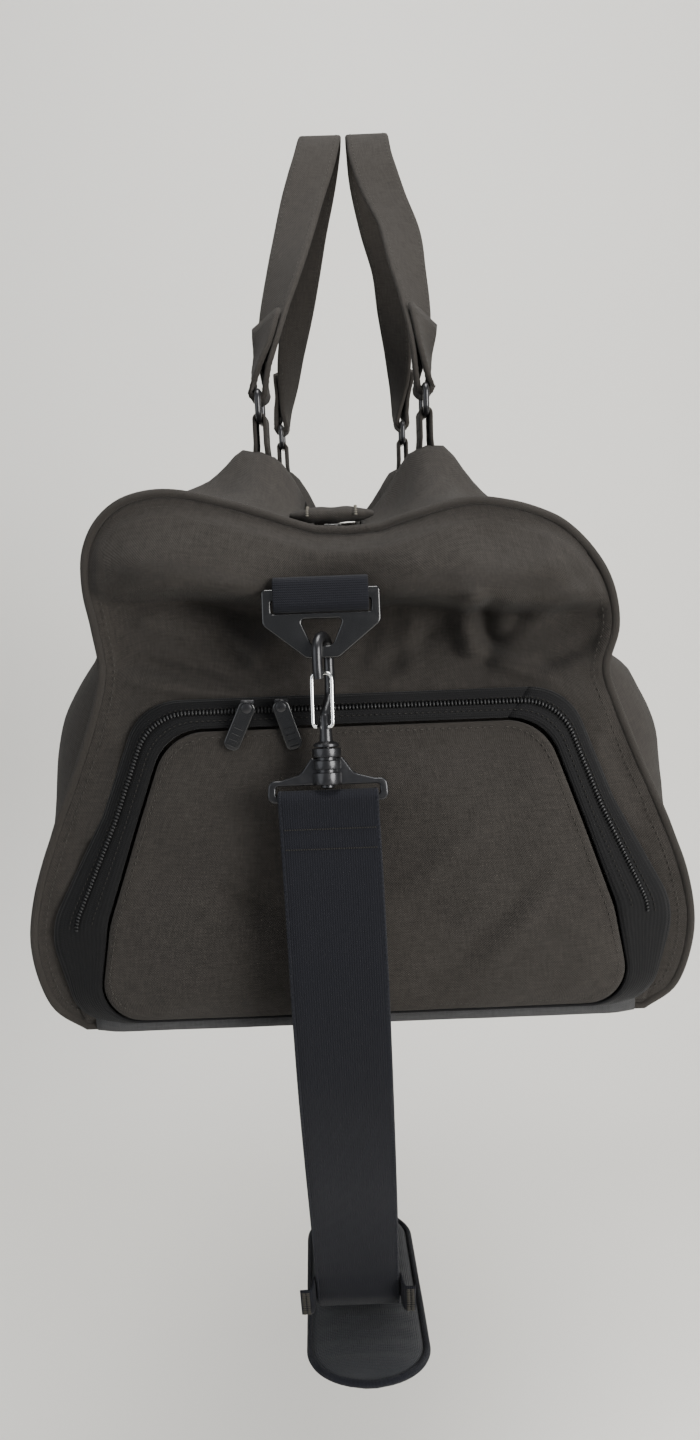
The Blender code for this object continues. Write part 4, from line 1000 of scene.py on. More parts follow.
def make_pocket_panel(sizes):
    widths = pocket_width(mirrored_outline(POCKET_CORNERS, 12))
    low, high = widths[0][0], widths[-1][0]
    rows = []
    for k in range(61):
        share = 0.5 - 0.5 * math.cos(math.pi * k / 60)
        z = low + (high - low) * share
        half = interpolate(widths, z)
        row = []
        for i in range(81):
            across = -1 + 2 * i / 80
            x = across * half
            rim = min(1.0, (1 - abs(across)) * half / 0.022, (z - low) / 0.016, (high - z) / 0.020)
            rim = max(0.0, rim) * (2 - max(0.0, rim))
            swell = sizes.bulge * (1 - across ** 4) * (0.45 + 0.55 * bell(z, 0.065, 0.055))
            diagonal = bell((x - 0.030) * 0.62 - (z - 0.085) * 0.78, 0.0, 0.007) * bell(x, 0.045, 0.035)
            second = bell((x + 0.050) * 0.50 + (z - 0.070) * 0.86, 0.0, 0.008) * bell(x, -0.060, 0.032)
            third = bell((x - 0.085) * 0.80 - (z - 0.060) * 0.60, 0.0, 0.006) * bell(x, 0.090, 0.022)
            fourth = bell((x - 0.062) * 0.70 - (z - 0.050) * 0.72, 0.0, 0.006) * bell(x, 0.070, 0.030)
            drift = grain(x, 0.0, z, 26.0, 9.3) * 0.0030 + grain(x, 0.0, z, 70.0, 2.0) * 0.0006
            pull_room = 1 - 0.75 * step_up(z, 0.135, 0.160)
            out = swell + 0.0034 * diagonal - 0.0026 * second + 0.0030 * third - 0.0026 * fourth + drift
            row.append(at((x, -(POCKET_Y + max(-0.0005, out * rim * pull_room)), z)))
        rows.append(row)
    panel = add_piece("pocket_front", sheet("pocket_front", rows), "canvas",
                      "bag", ("pocket_panel",))
    thicken(panel, WALL * 0.8)
    outline = mirrored_outline([(x - 0.0028, z - (0.0028 if z > 0.03 else -0.0028), r)
                                for x, z, r in POCKET_CORNERS])
    line = [Vector((x, -(POCKET_Y + 0.0017), z)) for x, z in outline + outline[:1]]
    places = stitch_places(line, [(0, -1, 0)] * len(line), sizes.stitch)
    data = grains("pocket_topstitch", places, (0.0011, 0.0003, 0.0004))
    add_piece("pocket_topstitch", data, "thread")


def pocket_outlines():
    inner = [(x + POCKET_GAP, z + (POCKET_GAP if z > 0.03 else -POCKET_GAP), r) for x, z, r in POCKET_CORNERS]
    return mirrored_outline(BAND_CORNERS), mirrored_outline(inner)


def make_pocket_band():
    outer, inner = pocket_outlines()
    steps = 6
    rows = []
    for a, b in zip(outer + outer[:1], inner + inner[:1]):
        row = []
        for k in range(steps + 1):
            share = k / steps
            crown = 0.0010 * math.sin(math.pi * share) + 0.0006 * grain(a[0], share, a[1], 60.0, 3.0)
            x = a[0] + (b[0] - a[0]) * share
            z = a[1] + (b[1] - a[1]) * share
            row.append(at((x, -(BAND_Y[0] + (BAND_Y[1] - BAND_Y[0]) * share + crown), z)))
        rows.append(row)
    cloth = add_piece("pocket_zip_cloth", sheet("pocket_zip_cloth", rows), "tape",
                      "bag", ("pocket_band",))
    thicken(cloth, 0.0014)
    pairs = [(a, b) for a, b in zip(outer, inner) if a[1] > 0.05]
    pairs.sort(key=lambda pair: math.atan2(pair[0][1] - 0.05, pair[0][0]))
    middle = []
    facings = []
    for a, b in pairs:
        point = Vector(((a[0] + b[0]) / 2, -sum(BAND_Y) / 2, (a[1] + b[1]) / 2))
        facing = Vector((a[0] - b[0], -0.020, a[1] - b[1])).normalized()
        middle.append(point + facing * 0.0026)
        facings.append(facing)
    places = stitch_places(middle, facings, 0.0019)
    data = grains("pocket_zip_teeth", places, (0.00078, 0.0020, 0.0010))
    add_piece("pocket_zip_teeth", data, "coil", "bag", ("pocket_chain",))
    for name, share in (("outer", 0.30), ("inner", 0.72)):
        line = []
        for a, b in pairs:
            x = a[0] + (b[0] - a[0]) * share
            z = a[1] + (b[1] - a[1]) * share
            line.append(Vector((x, -(BAND_Y[0] + (BAND_Y[1] - BAND_Y[0]) * share + 0.0022), z)))
        places = stitch_places(line, facings, 0.0030)
        data = grains(f"pocket_zip_seam_{name}", places, (0.0009, 0.0003, 0.0003))
        add_piece(f"pocket_zip_seam_{name}", data, "thread_dark")


# --- sliders and pulls ----------------------------------------------------------------------------------

def pull_mesh(name, width, length, thickness, hole, place):
    """A moulded pull: a long rounded tag with an eye and four grip bars."""
    edge = rounded_box(width, length, width * 0.42, (0.0, hole - length / 2))
    eye = [(hole * 0.55 * math.cos(a), hole * 0.55 * math.sin(a))
           for a in [math.radians(15 * k) for k in range(24)]]
    body = plate(name, (edge, eye), thickness, thickness * 0.36, place)
    bars = []
    for k in range(4):
        along = -length * (0.42 + 0.12 * k)
        start = place @ Vector((-width * 0.27, along, thickness * 0.46))
        end = place @ Vector((width * 0.27, along, thickness * 0.46))
        bars.append(rod(name + "_bar", [start, end], thickness * 0.20, sides=8, lift=False))
    return joined(name, [body] + bars)


def make_top_slider():
    low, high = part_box("main_slider")
    size = high - low
    middle = (low + high) / 2
    outline = rounded([(size.x * 0.50, size.y * 0.46, 0.0014), (size.x * 0.36, 0.0, 0.004),
                       (size.x * 0.50, -size.y * 0.46, 0.0014), (-size.x * 0.50, -size.y * 0.46, 0.0014),
                       (-size.x * 0.36, 0.0, 0.004), (-size.x * 0.50, size.y * 0.46, 0.0014)], 4)
    wings = []
    for height in (0.0006, 0.0028):
        place = Matrix.Translation((middle.x, middle.y, low.z + height))
        wings.append(plate("slider_wing", (outline,), 0.0010, 0.0003, place))
    core = Matrix.Translation((middle.x, middle.y, low.z + 0.0016))
    wings.append(plate("slider_core", (rounded_box(0.0050, size.y * 0.6, 0.001),), 0.0024, 0.0003, core))
    bridge = [Vector((middle.x, middle.y + y, low.z + 0.0042 + z))
              for y, z in [(0.0034, -0.0014)] + arc((0, 0.0), 0.0034, 0, 180, 16) + [(-0.0034, -0.0014)]]
    wings.append(rod("slider_bridge", bridge, 0.0008, sides=12, lift=False))
    slider = joined("main_zip_slider", wings)
    add_piece("main_zip_slider", slider, "metal", "main_slider", ("main_slider",))
    low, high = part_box("main_pull")
    middle = (low + high) / 2
    hole = 0.0036
    place = Matrix.Translation((middle.x, high.y - hole, middle.z))
    data = pull_mesh("main_zip_pull", high.x - low.x, high.y - low.y, high.z - low.z, hole, place)
    add_piece("main_zip_pull", data, "plastic", "main_pull", ("main_pull",))


def make_pocket_sliders():
    for word, x, lean in POCKET_PULLS:
        low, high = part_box(f"pocket_slider_{word}")
        top = high.z
        slope = math.atan2(0.0145, 0.0105)
        middle = Vector((x, low.y + 0.0062, (low.z + high.z) / 2 + 0.0002))
        lay = Matrix.Translation(middle) @ Matrix.Rotation(slope, 4, "X")
        outline = rounded([(0.0040, 0.0033, 0.0010), (0.0030, 0.0, 0.003), (0.0040, -0.0033, 0.0010),
                           (-0.0040, -0.0033, 0.0010), (-0.0030, 0.0, 0.003), (-0.0040, 0.0033, 0.0010)], 4)
        wings = [plate("pocket_slider_wing", (outline,), 0.0030, 0.0005, lay)]
        front = low.y
        post = [Vector((x, high.y - 0.002, middle.z)), Vector((x, front + 0.0004, middle.z))]
        wings.append(rod("pocket_slider_post", post, 0.0013, sides=12, lift=False))
        head = Matrix.Translation((x, front, middle.z)) @ Matrix.Rotation(math.radians(-90), 4, "X")
        profile = ((0.0001, 0.0), (0.0018, 0.0001), (0.0026, 0.0004), (0.0026, 0.0007), (0.0001, 0.0009))
        wings.append(turned("pocket_slider_head", profile, 20, head))
        slider = joined(f"pocket_zip_slider_{word}", wings)
        add_piece(f"pocket_zip_slider_{word}", slider, "metal", f"pocket_slider_{word}",
                  (f"pocket_slider_{word}",))
        pivot = Matrix.Translation((x, -PULL_Y, top - (top - low.z) / 2))
        place = pivot @ Matrix.Rotation(math.radians(90), 4, "X")
        place = place @ Matrix.Rotation(math.radians(lean), 4, "Z")
        data = pull_mesh(f"pocket_zip_pull_{word}", *PULL_SIZE, 0.0019, 0.0035, place)
        add_piece(f"pocket_zip_pull_{word}", data, "plastic", f"pocket_pull_{word}",
                  (f"pocket_pull_{word}",))


# --- handles --------------------------------------------------------------------------------------------

def leg_side(point, along, side):
    share = min(1.0, max(0.0, (point.z - TWIST_Z[0]) / (TWIST_Z[1] - TWIST_Z[0]))) ** 0.8
    angle = math.radians(90) * (1.0 - share)
    across = Vector((side * math.cos(angle), math.sin(angle), 0.0))
    return (across - across.dot(along) * along).normalized()


def half_handle(side, leg):
    """Middle points and width directions of the near half of a handle, from its tail's tip to the grip."""
    bar = Vector((side * ANCHOR_X, -ANCHOR_Y, UPPER_BAR_Z))
    foot = bar - Vector((side * HANDLE_TURN, 0, 0))
    rise = smooth_line([foot, foot + Vector((0, 0, 0.007))] + [Vector(p) for p in leg], 0.005)
    directions = []
    for i, point in enumerate(rise):
        along = (rise[min(i + 1, len(rise) - 1)] - rise[max(i - 1, 0)]).normalized()
        if i == len(rise) - 1:
            along = Vector((0, 1, 0))
        directions.append((along, leg_side(point, along, side)))
    centres = []
    sides = []
    for point, (along, across) in zip(rise, directions):
        if point.z <= TAIL_TOP_Z:
            out = across.cross(along)
            out = out if out.x * side > 0 else -out
            share = min(1.0, (point.z - UPPER_BAR_Z) / 0.022)
            flare = 0.0008 * step_up(point.z, TAIL_TOP_Z - 0.014, TAIL_TOP_Z)
            gap = 2 * HANDLE_TURN + (HANDLE_GAP - 2 * HANDLE_TURN) * share + flare
            centres.insert(0, point + out.normalized() * gap)
            sides.insert(0, across)
    turn = arc((bar.x, bar.z), HANDLE_TURN, 0 if side > 0 else 180, -180 if side > 0 else 360, 14)[1:-1]
    centres += [Vector((x, bar.y, z)) for x, z in turn]
    sides += [Vector((0, 1, 0))] * len(turn)
    centres += rise
    sides += [across for along, across in directions]
    return centres, sides


def full_handle(side, leg):
    centres, sides = half_handle(side, leg)
    centres += [Vector((p.x, -p.y, p.z)) for p in reversed(centres[:-1])]
    sides += [Vector((s.x, -s.y, s.z)) for s in reversed(sides[:-1])]
    for i in range(1, len(sides)):
        if sides[i].dot(sides[i - 1]) < 0:
            sides[i] = -sides[i]
    return centres, sides


def strap_surface(centres, sides, across, thickness):
    """A line on a strap's face, at a distance across it, with the way that face looks."""
    line = []
    facings = []
    for i, (centre, side) in enumerate(zip(centres, sides)):
        along = (centres[min(i + 1, len(centres) - 1)] - centres[max(i - 1, 0)]).normalized()
        side = (side - side.dot(along) * along).normalized()
        above = side.cross(along).normalized()
        line.append(centre + side * across + above * thickness / 2)
        facings.append(above)
    return line, facings


def make_handle(word, side, leg, sizes):
    centres, sides = full_handle(side, leg)
    body = f"handle_{word}"
    data = band(f"carry_handle_{word}", centres, sides, HANDLE_WIDTH, HANDLE_THICKNESS)
    handle = add_piece(f"carry_handle_{word}", data, "canvas_handle", body, (f"handle_{word}",))
    places = []
    for across in (-0.0112, 0.0112):
        for face in (HANDLE_THICKNESS, -HANDLE_THICKNESS):
            line, facings = strap_surface(centres, sides, across, face)
            facings = facings if face > 0 else [-f for f in facings]
            places += stitch_places(line, facings, sizes.stitch)
    data = grains(f"handle_stitches_{word}", places, (0.0011, 0.00035, 0.0003))
    add_piece(f"handle_stitches_{word}", data, "thread", body)
    for end in (-1, 1):
        name = "near" if end < 0 else "far"
        make_bartack(f"handle_bartack_{word}_{name}", centres, sides, end, body)
        outline = rounded_box(RING_HALF_WIDTH * 2, UPPER_BAR_Z - LOWER_BAR_Z, 0.0042,
                              (end * ANCHOR_Y, (UPPER_BAR_Z + LOWER_BAR_Z) / 2))
        points = [Vector((side * ANCHOR_X, y, z)) for y, z in outline]
        data = rod(f"square_ring_{word}_{name}", points, RING_WIRE, loop=True, sides=16)
        add_piece(f"square_ring_{word}_{name}", data, "metal", body,
                  (f"handle_ring_{word}_{name}",))


def make_bartack(name, centres, sides, end, body):
    """Two rows of dense stitches across the leg, over its folded tail."""
    if end > 0:
        centres, sides = centres[::-1], sides[::-1]
    places = []
    for height in (TAIL_TOP_Z - 0.006, TAIL_TOP_Z - 0.022):
        i = min(range(len(centres) // 3), key=lambda k: abs(centres[k].z - height))
        along = (centres[i + 1] - centres[i - 1]).normalized()
        side = (sides[i] - sides[i].dot(along) * along).normalized()
        out = side.cross(along).normalized()
        out = out if out.x * centres[i].x > 0 else -out
        for k in range(19):
            across = -0.0118 + 0.0236 * k / 18
            point = centres[i] + side * across + out * (HANDLE_THICKNESS / 2 + 0.0001)
            places.append(frame_at(point, along, out))
    add_piece(name, grains(name, places, (0.0013, 0.0005, 0.0003)), "thread_dark", body)


def make_tabs():
    """The webbing tabs that hold the rings, each stitched at its foot."""
    radius = RING_WIRE + 0.0003 + 0.0009
    for word, side in (("left", -1), ("right", 1)):
        for name, end in (("near", -1), ("far", 1)):
            x = side * ANCHOR_X
            section = [(x + radius + 0.0006, 0.3135), (x + radius, 0.3200), (x + radius, 0.3270)]
            section += arc((x, LOWER_BAR_Z), radius, 0, 180, 12)
            section += [(x - radius, 0.3270), (x - radius, 0.3200), (x - radius - 0.0006, 0.3135)]
            centres = [Vector((px, end * ANCHOR_Y, pz)) for px, pz in section]
            label = f"ring_tab_{word}_{name}"
            data = band(label, centres, [(0, 1, 0)] * len(centres), 0.029, 0.0022)
            add_piece(label, data, "canvas_handle", "bag", (f"anchor_tab_{word}_{name}",))
            places = []
            for face in (-1, 1):
                for z in (0.3195, 0.3245):
                    for k in range(15):
                        y = end * ANCHOR_Y - 0.0118 + 0.0236 * k / 14
                        point = Vector((x + face * (radius + 0.0010), y, z))
                        places.append(frame_at(point, (0, 1, 0), (face, 0, 0)))
            data = grains(label + "_stitch", places, (0.0006, 0.0005, 0.0003))
            add_piece(label + "_stitch", data, "thread_dark")


# --- plate ring and hook --------------------------------------------------------------------------------

def ring_place(side):
    tilt = Matrix.Rotation(math.radians(side * RING_TILT), 4, "X")
    return Matrix.Translation(at((RING_X, side * RING_BAR_Y, RING_BAR_Z))) @ tilt


def make_ring(word, side):
    place = ring_place(side)
    section = [(LOOP_TURN * math.cos(a), LOOP_HALF_HEIGHT + LOOP_TURN * math.sin(a))
               for a in [math.radians(15 * k) for k in range(13)]]
    section += [(-y, -z) for y, z in section]
    section.append(section[0])
    rings = []
    for across, above in flat_section(LOOP_WIDTH, 0.0019):
        ring = []
        for i in range(len(section) - 1):
            before = Vector(section[i - 1 if i else len(section) - 2])
            after = Vector(section[i + 1])
            out = (after - before).normalized()
            out = Vector((out.y, -out.x))
            y, z = Vector(section[i]) + out * above
            ring.append(place @ Vector((across, y, z)))
        rings.append(ring)
    rings.append(rings[0])
    data = sheet(f"ring_webbing_{word}", rings, wrap=True)
    mesh = bmesh.new()
    mesh.from_mesh(data)
    bmesh.ops.remove_doubles(mesh, verts=mesh.verts, dist=0.00001)
    bmesh.ops.recalc_face_normals(mesh, faces=mesh.faces)
    mesh.to_mesh(data)
    mesh.free()
    add_piece(f"ring_webbing_{word}", data, "webbing", "bag", (f"webbing_loop_{word}",))
    edge = rounded([(0.0297, 0.0030, 0.002), (-0.0297, 0.0030, 0.002), (-0.0297, -0.0148, 0.004),
                    (-0.0080, -0.0322, 0.005), (0.0080, -0.0322, 0.005), (0.0297, -0.0148, 0.004)], 6)
    slot = rounded_box(0.0500, 0.0064, 0.0010, (0.0, -0.0062))
    hole = rounded([(0.0110, -0.0124, 0.0018), (-0.0110, -0.0124, 0.0018),
                    (-0.0052, -HOLE_BOTTOM, 0.0034), (0.0052, -HOLE_BOTTOM, 0.0034)], 6)
    upright = Matrix.Rotation(math.radians(90), 4, "X")
    data = plate(f"shield_ring_{word}", (edge, slot, hole), 0.0040, 0.0009, place @ upright)
    body = f"plate_ring_{word}"
    add_piece(f"shield_ring_{word}", data, "plastic", body, (f"plate_ring_{word}",))


def hook_frame(side):
    """The frame of a hook: its origin on the ring's contact, +Z up the stem, -Y away from the bag."""
    tilt = math.radians(RING_TILT)
    y = RING_BAR_Y + HOLE_BOTTOM * math.sin(tilt)
    z = RING_BAR_Z - HOLE_BOTTOM * math.cos(tilt)
    turn = Matrix.Rotation(math.radians(0 if side < 0 else 180), 4, "Z")
    lean = Matrix.Rotation(-math.radians(HOOK_TILT), 4, "X")
    return Matrix.Translation(at((RING_X, side * y, z))) @ turn @ lean


def make_hook(word, side):
    swivel = hook_frame(side) @ Matrix.Rotation(math.radians(-HOOK_TURN), 4, "Z")
    neck = -0.0338
    profile = ((0.0002, neck), (0.0024, neck - 0.0004), (0.0031, neck - 0.0014), (0.0031, -0.0440),
               (0.0034, -0.0478), (0.0058, -0.0487), (0.0064, -0.0492), (0.0064, -0.0504), (0.0058, -0.0507),
               (0.0024, -0.0508), (0.0024, -0.0698), (0.0036, -0.0698), (0.0036, -0.0708), (0.0026, -0.0714),
               (0.0002, -0.0715))
    stem = turned("hook_stem", profile, 28, swivel)
    centre = BOW_TOP - BOW_RADIUS
    keys = [(0, 0.0, neck - 0.010), (0, 0.0, neck - 0.002), (0, 0.0025, neck + 0.0025),
            (0, 0.0062, neck + 0.0070), (0, BOW_RADIUS, neck + 0.0125), (0, BOW_RADIUS, centre)]
    keys += [(0, y, z) for y, z in arc((0, centre), BOW_RADIUS, 15, 165, 12)]
    keys += [(0, -BOW_RADIUS, centre), (0, -BOW_RADIUS + 0.0001, -0.0115), (0, -BOW_RADIUS + 0.0008, -0.0165)]
    points = [swivel @ point for point in smooth_line(keys, 0.0012)]
    bow = rod("hook_bow", points, BOW_WIRE, sides=20, lift=False)
    name = f"swivel_hook_{word}"
    add_piece(name, joined(name, [stem, bow]), "metal", f"snap_hook_{word}",
              (f"snap_hook_{word}",))
    foot, low, top, high, half = 0.0034, -0.0405, 0.0031, -0.0140, 0.0053
    leg = [(0.0030, -foot, low), (0.0044, -foot, low), (half - 0.0003, -foot, low + 0.0010),
           (half, -foot, low + 0.0030), (half, -(foot + top) / 2, (low + high) / 2),
           (half, -top, high - 0.0030),
           (half - 0.0006, -top, high - 0.0011), (half - 0.0022, -top, high), (0.0, -top, high)]
    keys = leg + [(-x, y, z) for x, y, z in reversed(leg[:-1])]
    points = [swivel @ point for point in smooth_line(keys, 0.0008)]
    name = f"wire_gate_{word}"
    data = rod(name, points, GATE_WIRE, sides=16, lift=False)
    add_piece(name, data, "wire", f"gate_{word}", (f"hook_gate_{word}",))


def make_hook_loop(word, side):
    """The flat loop that the strap goes through, with the three-ringed barrel of the swivel."""
    place = hook_frame(side)
    low, high = -0.0694, -0.0512
    width = 0.0305
    bottom = LOOP_BAR_Z - LOOP_BAR_RADIUS
    edge = rounded([(0.0080, -0.0560, 0.0015), (-0.0080, -0.0560, 0.0015), (-0.0135, -0.0640, 0.006),
                    (-0.0235, -0.0668, 0.006), (0.0008 - width, -0.0668, 0.0036), (-width, bottom, 0.0036),
                    (width, bottom, 0.0036), (width - 0.0008, -0.0668, 0.0036), (0.0235, -0.0668, 0.006),
                    (0.0135, -0.0640, 0.006)], 6)
    slot = rounded_box(0.0520, 0.0052, 0.0014, (0.0, LOOP_BAR_Z + LOOP_BAR_RADIUS + 0.0026))
    turned_up = place @ Matrix.Rotation(math.radians(90), 4, "X")
    flat = plate("loop_plate", (edge, slot), 0.0032, 0.0010, turned_up)
    r = BARREL_RADIUS
    profile = [(r - 0.0045, high)]
    step = (high - low) / 3
    for k in range(3):
        top = high - k * step
        floor = top - step * (0.74 if k < 2 else 1.0)
        profile += [(r - 0.0005, top), (r - 0.0001, top - 0.0002), (r, top - 0.0006), (r, floor + 0.0006),
                    (r - 0.0001, floor + 0.0002), (r - 0.0005, floor)]
        if k < 2:
            profile += [(r - 0.0020, floor - 0.0001), (r - 0.0020, top - step + 0.0001)]
    profile.append((r - 0.0045, low))
    barrel = turned("loop_barrel", profile, 36, place)
    name = f"strap_loop_{word}"
    add_piece(name, joined(name, [flat, barrel]), "metal", "strap", (f"hook_loop_{word}",))


# --- shoulder strap -------------------------------------------------------------------------------------

def strap_bar(side):
    place = Matrix.Translation((0, 0, -BASE)) @ hook_frame(side)
    turn = place.to_3x3()
    return place @ Vector((0, 0, LOOP_BAR_Z)), turn @ Vector((0, 0, 1)), turn @ Vector((0, -1, 0))


def line_normals(points):
    normals = []
    for i in range(len(points)):
        along = points[min(i + 1, len(points) - 1)] - points[max(i - 1, 0)]
        normals.append(Vector((0, -along.z, along.y)).normalized())
    return normals


def folded_layer(points, normals, keep):
    layer = []
    for point, normal, run in zip(points, normals, lengths(points)):
        if not keep(point):
            break
        share = min(1.0, run / 0.026)
        gap = 2 * STRAP_TURN + (STRAP_LAYER - 2 * STRAP_TURN) * share
        layer.append(point + normal * gap)
    return layer


def bar_turn(side):
    bar, up, out = strap_bar(side)
    return [bar + up * (STRAP_TURN * math.sin(a)) - out * (STRAP_TURN * math.cos(a))
            for a in [math.radians(15 * k) for k in range(1, 12)]]


def strap_line():
    bar, _, out = strap_bar(-1)
    far_bar, _, far_out = strap_bar(1)
    route = [Vector(key) for key in STRAP_ROUTE]
    coarse = smooth_line([bar + out * STRAP_TURN] + route + [far_bar + far_out * STRAP_TURN], STRAP_STEP)
    run = lengths(coarse)
    centre = min(range(len(coarse)), key=lambda i: abs(run[i] - run[-1] * ADJUSTER_S))
    return smooth_line(coarse, STRAP_FINE_STEP), coarse[centre]


def weave(points, normals, middle):
    """Bend the strap over the adjuster's end bars and under its middle bar."""
    run = lengths(points)
    centre = run[middle]
    slot = (ADJUSTER_SLOT[1] + ADJUSTER_BAR) / 2
    woven = []
    for point, normal, travelled in zip(points, normals, run):
        away = abs(travelled - centre)
        if away < 0.05:
            share = min(1.0, max(0.0, (away - slot + 0.0042) / 0.0084))
            rise = math.cos(math.pi * share) * ADJUSTER_WEAVE
            fade = min(1.0, max(0.0, (away - 0.018) / 0.020))
            point = point + normal * rise * (1.0 - fade)
        woven.append(point)
    return woven


def make_strap():
    line, middle_point = strap_line()
    normals = line_normals(line)
    middle = min(range(len(line)), key=lambda i: (line[i] - middle_point).length)
    near_tail = folded_layer(line, normals, lambda p: p.z > NEAR_TAIL_Z)
    far_tail = folded_layer(line[::-1], normals[::-1], lambda p: p.z > FAR_TAIL_Z)
    woven = weave(line, normals, middle)
    points = near_tail[::-1] + bar_turn(-1) + woven + bar_turn(1)[::-1] + far_tail
    sides = [Vector((1, 0, 0)) for _ in points]
    data = band("shoulder_webbing", points, sides, STRAP_WIDTH, STRAP_THICKNESS)
    add_piece("shoulder_webbing", data, "webbing", "strap", ("shoulder_strap",))
    selvedges = []
    for across in (-1, 1):
        edge = [at(point + Vector((across * (STRAP_WIDTH / 2 - 0.0010), 0, 0))) for point in points]
        selvedges.append(rod("selvedge", edge, 0.00125, sides=8, lift=False))
    add_piece("strap_selvedges", joined("strap_selvedges", selvedges), "webbing_edge", "strap")
    make_adjuster(line, middle)
    make_pad_band(line, normals)
    places = []
    for low in (0.018, 0.024):
        i = int(low / STRAP_FINE_STEP)
        for k in range(37):
            across = -0.0225 + 0.045 * k / 36
            point = line[i] + Vector((across, 0, 0)) - normals[i] * (STRAP_THICKNESS / 2 + 0.0002)
            places.append(frame_at(point, (1, 0, 0), -normals[i]))
    data = grains("strap_fold_stitch", places, (0.0006, 0.0004, 0.0003))
    add_piece("strap_fold_stitch", data, "thread_dark", "strap")


def make_adjuster(line, middle):
    slot, opening = ADJUSTER_SLOT
    offset = (opening + ADJUSTER_BAR) / 2
    outlines = (rounded_box(*ADJUSTER_SIZE, 0.0045), rounded_box(slot, opening, 0.0018, (0.0, offset)),
                rounded_box(slot, opening, 0.0018, (0.0, -offset)))
    along = (line[middle + 1] - line[middle - 1]).normalized()
    across = Vector((1, 0, 0))
    up = (along - along.dot(across) * across).normalized()
    place = Matrix((across, up, across.cross(up))).transposed().to_4x4()
    place.translation = at(line[middle])
    data = plate("strap_slide", outlines, 0.0028, 0.0007, place)
    add_piece("strap_slide", data, "plastic", "strap", ("strap_adjuster",))


def make_pad_band(line, normals):
    """The webbing keeper across the pad, bartacked at both sides."""
    run = lengths(line)
    half = [(0.0230, 0.0019), (0.0258, 0.0014), (0.0268, -0.0030), (0.0280, -0.0066), (0.0310, -0.0071),
            (0.0345, -0.0072)]
    cross = [(-x, z) for x, z in reversed(half)] + [(0.0, 0.0021)] + half
    cross = [(p.x, p.z) for p in smooth_line([(x, 0, z) for x, z in cross], 0.0016)]
    rows = []
    places = []
    for k in range(15):
        want = BAND_SPAN[0] + (BAND_SPAN[1] - BAND_SPAN[0]) * k / 14
        i = max(j for j, value in enumerate(run) if value <= want)
        share = (want - run[i]) / (run[i + 1] - run[i])
        point = line[i].lerp(line[i + 1], share)
        normal = normals[i].lerp(normals[i + 1], share).normalized()
        rows.append([at(point + Vector((across, 0, 0)) + normal * above) for across, above in cross])
        if 1 <= k <= 13:
            for across in (-0.0325, -0.0300, 0.0300, 0.0325):
                spot = point + Vector((across, 0, 0)) + normal * (-0.0072 - 0.0009)
                places.append(frame_at(spot, (1, 0, 0), -normal))
    keeper = add_piece("pad_keeper", sheet("pad_keeper", rows), "webbing", "strap", ("pad_band",))
    thicken(keeper, 0.0012)
    data = grains("pad_keeper_bartacks", places, (0.0014, 0.0005, 0.0004))
    add_piece("pad_keeper_bartacks", data, "bartack_dull", "strap")


def make_pad():
    """The shoulder pad: a crowned oval with padded ribs across it and a bound edge."""
    line = smooth_line(PAD_ROUTE, 0.0022)
    run = lengths(line)
    length = run[-1]
    rings = []
    left_edge = []
    right_edge = []
    steps = 15
    for i, (point, travelled) in enumerate(zip(line, run)):
        along = (line[min(i + 1, len(line) - 1)] - line[max(i - 1, 0)]).normalized()
        up = Vector((0, -along.z, along.y)).normalized()
        inset = max(0.0, PAD_END_ROUND - min(travelled, length - travelled)) / PAD_END_ROUND
        half = PAD_HALF_WIDTH * math.sqrt(max(0.012, 1.0 - inset ** 2)) - 0.0008
        near_end = min(1.0, min(travelled, length - travelled) / 0.018)
        rib = 0.5 + 0.5 * math.cos(travelled * 2 * math.pi / 0.0145)
        ring = []
        for face in (1, -1):
            shares = range(steps) if face > 0 else range(steps, 0, -1)
            for k in shares:
                across = -1 + 2 * k / steps
                crown = (1 - abs(across) ** 3.5) * near_end
                channel = 1 - 0.20 * (1 - rib) * step_up(1 - abs(across), 0.08, 0.3)
                height = (0.0012 + (PAD_HALF_THICKNESS - 0.0010) * crown * channel) * face
                ring.append(at(point + Vector((across * half, 0, 0)) + up * height))
        rings.append(ring)
        left_edge.append(at(point - Vector((half, 0, 0))))
        right_edge.append(at(point + Vector((half, 0, 0))))
    pad = add_piece("padded_rest", closed_loft("padded_rest", rings), "pad",
                    "strap", ("shoulder_pad",))
    rim = left_edge + right_edge[::-1]
    data = rod("pad_binding", rim, 0.0022, loop=True, sides=12, lift=False)
    add_piece("pad_binding", data, "webbing_edge", "strap")


# --- stage ----------------------------------------------------------------------------------------------

def make_backdrop():
    """A pale floor that sweeps up into the wall."""
    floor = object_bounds()[0][2] - 0.42
    profile = [(-4.0, floor), (-1.0, floor), (0.6, floor)]
    profile += [(0.6 + y, floor + 0.5 + z) for y, z in arc((0, 0), 0.5, -90, 0, 14)[1:]]
    profile += [(1.1, floor + 1.5), (1.1, floor + 4.5)]
    rows = [[Vector((x, y, z)) for x in (-5.0, -2.0, 0.0, 2.0, 5.0)] for y, z in profile]
    data = sheet("backdrop", rows)
    obj = bpy.data.objects.new("backdrop", data)
    bpy.context.scene.collection.objects.link(obj)
    data.materials.append(finish_of("wall"))
    obj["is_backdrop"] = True


def add_lamp(name, place, target, size, power, colour):
    lamp = bpy.data.lights.new(name, "AREA")
    lamp.shape = "DISK"
    lamp.size = size
    lamp.energy = power
    lamp.color = colour
    obj = bpy.data.objects.new(name, lamp)
    bpy.context.scene.collection.objects.link(obj)
    obj.location = place
    obj.rotation_euler = (Vector(target) - Vector(place)).to_track_quat("-Z", "Y").to_euler()


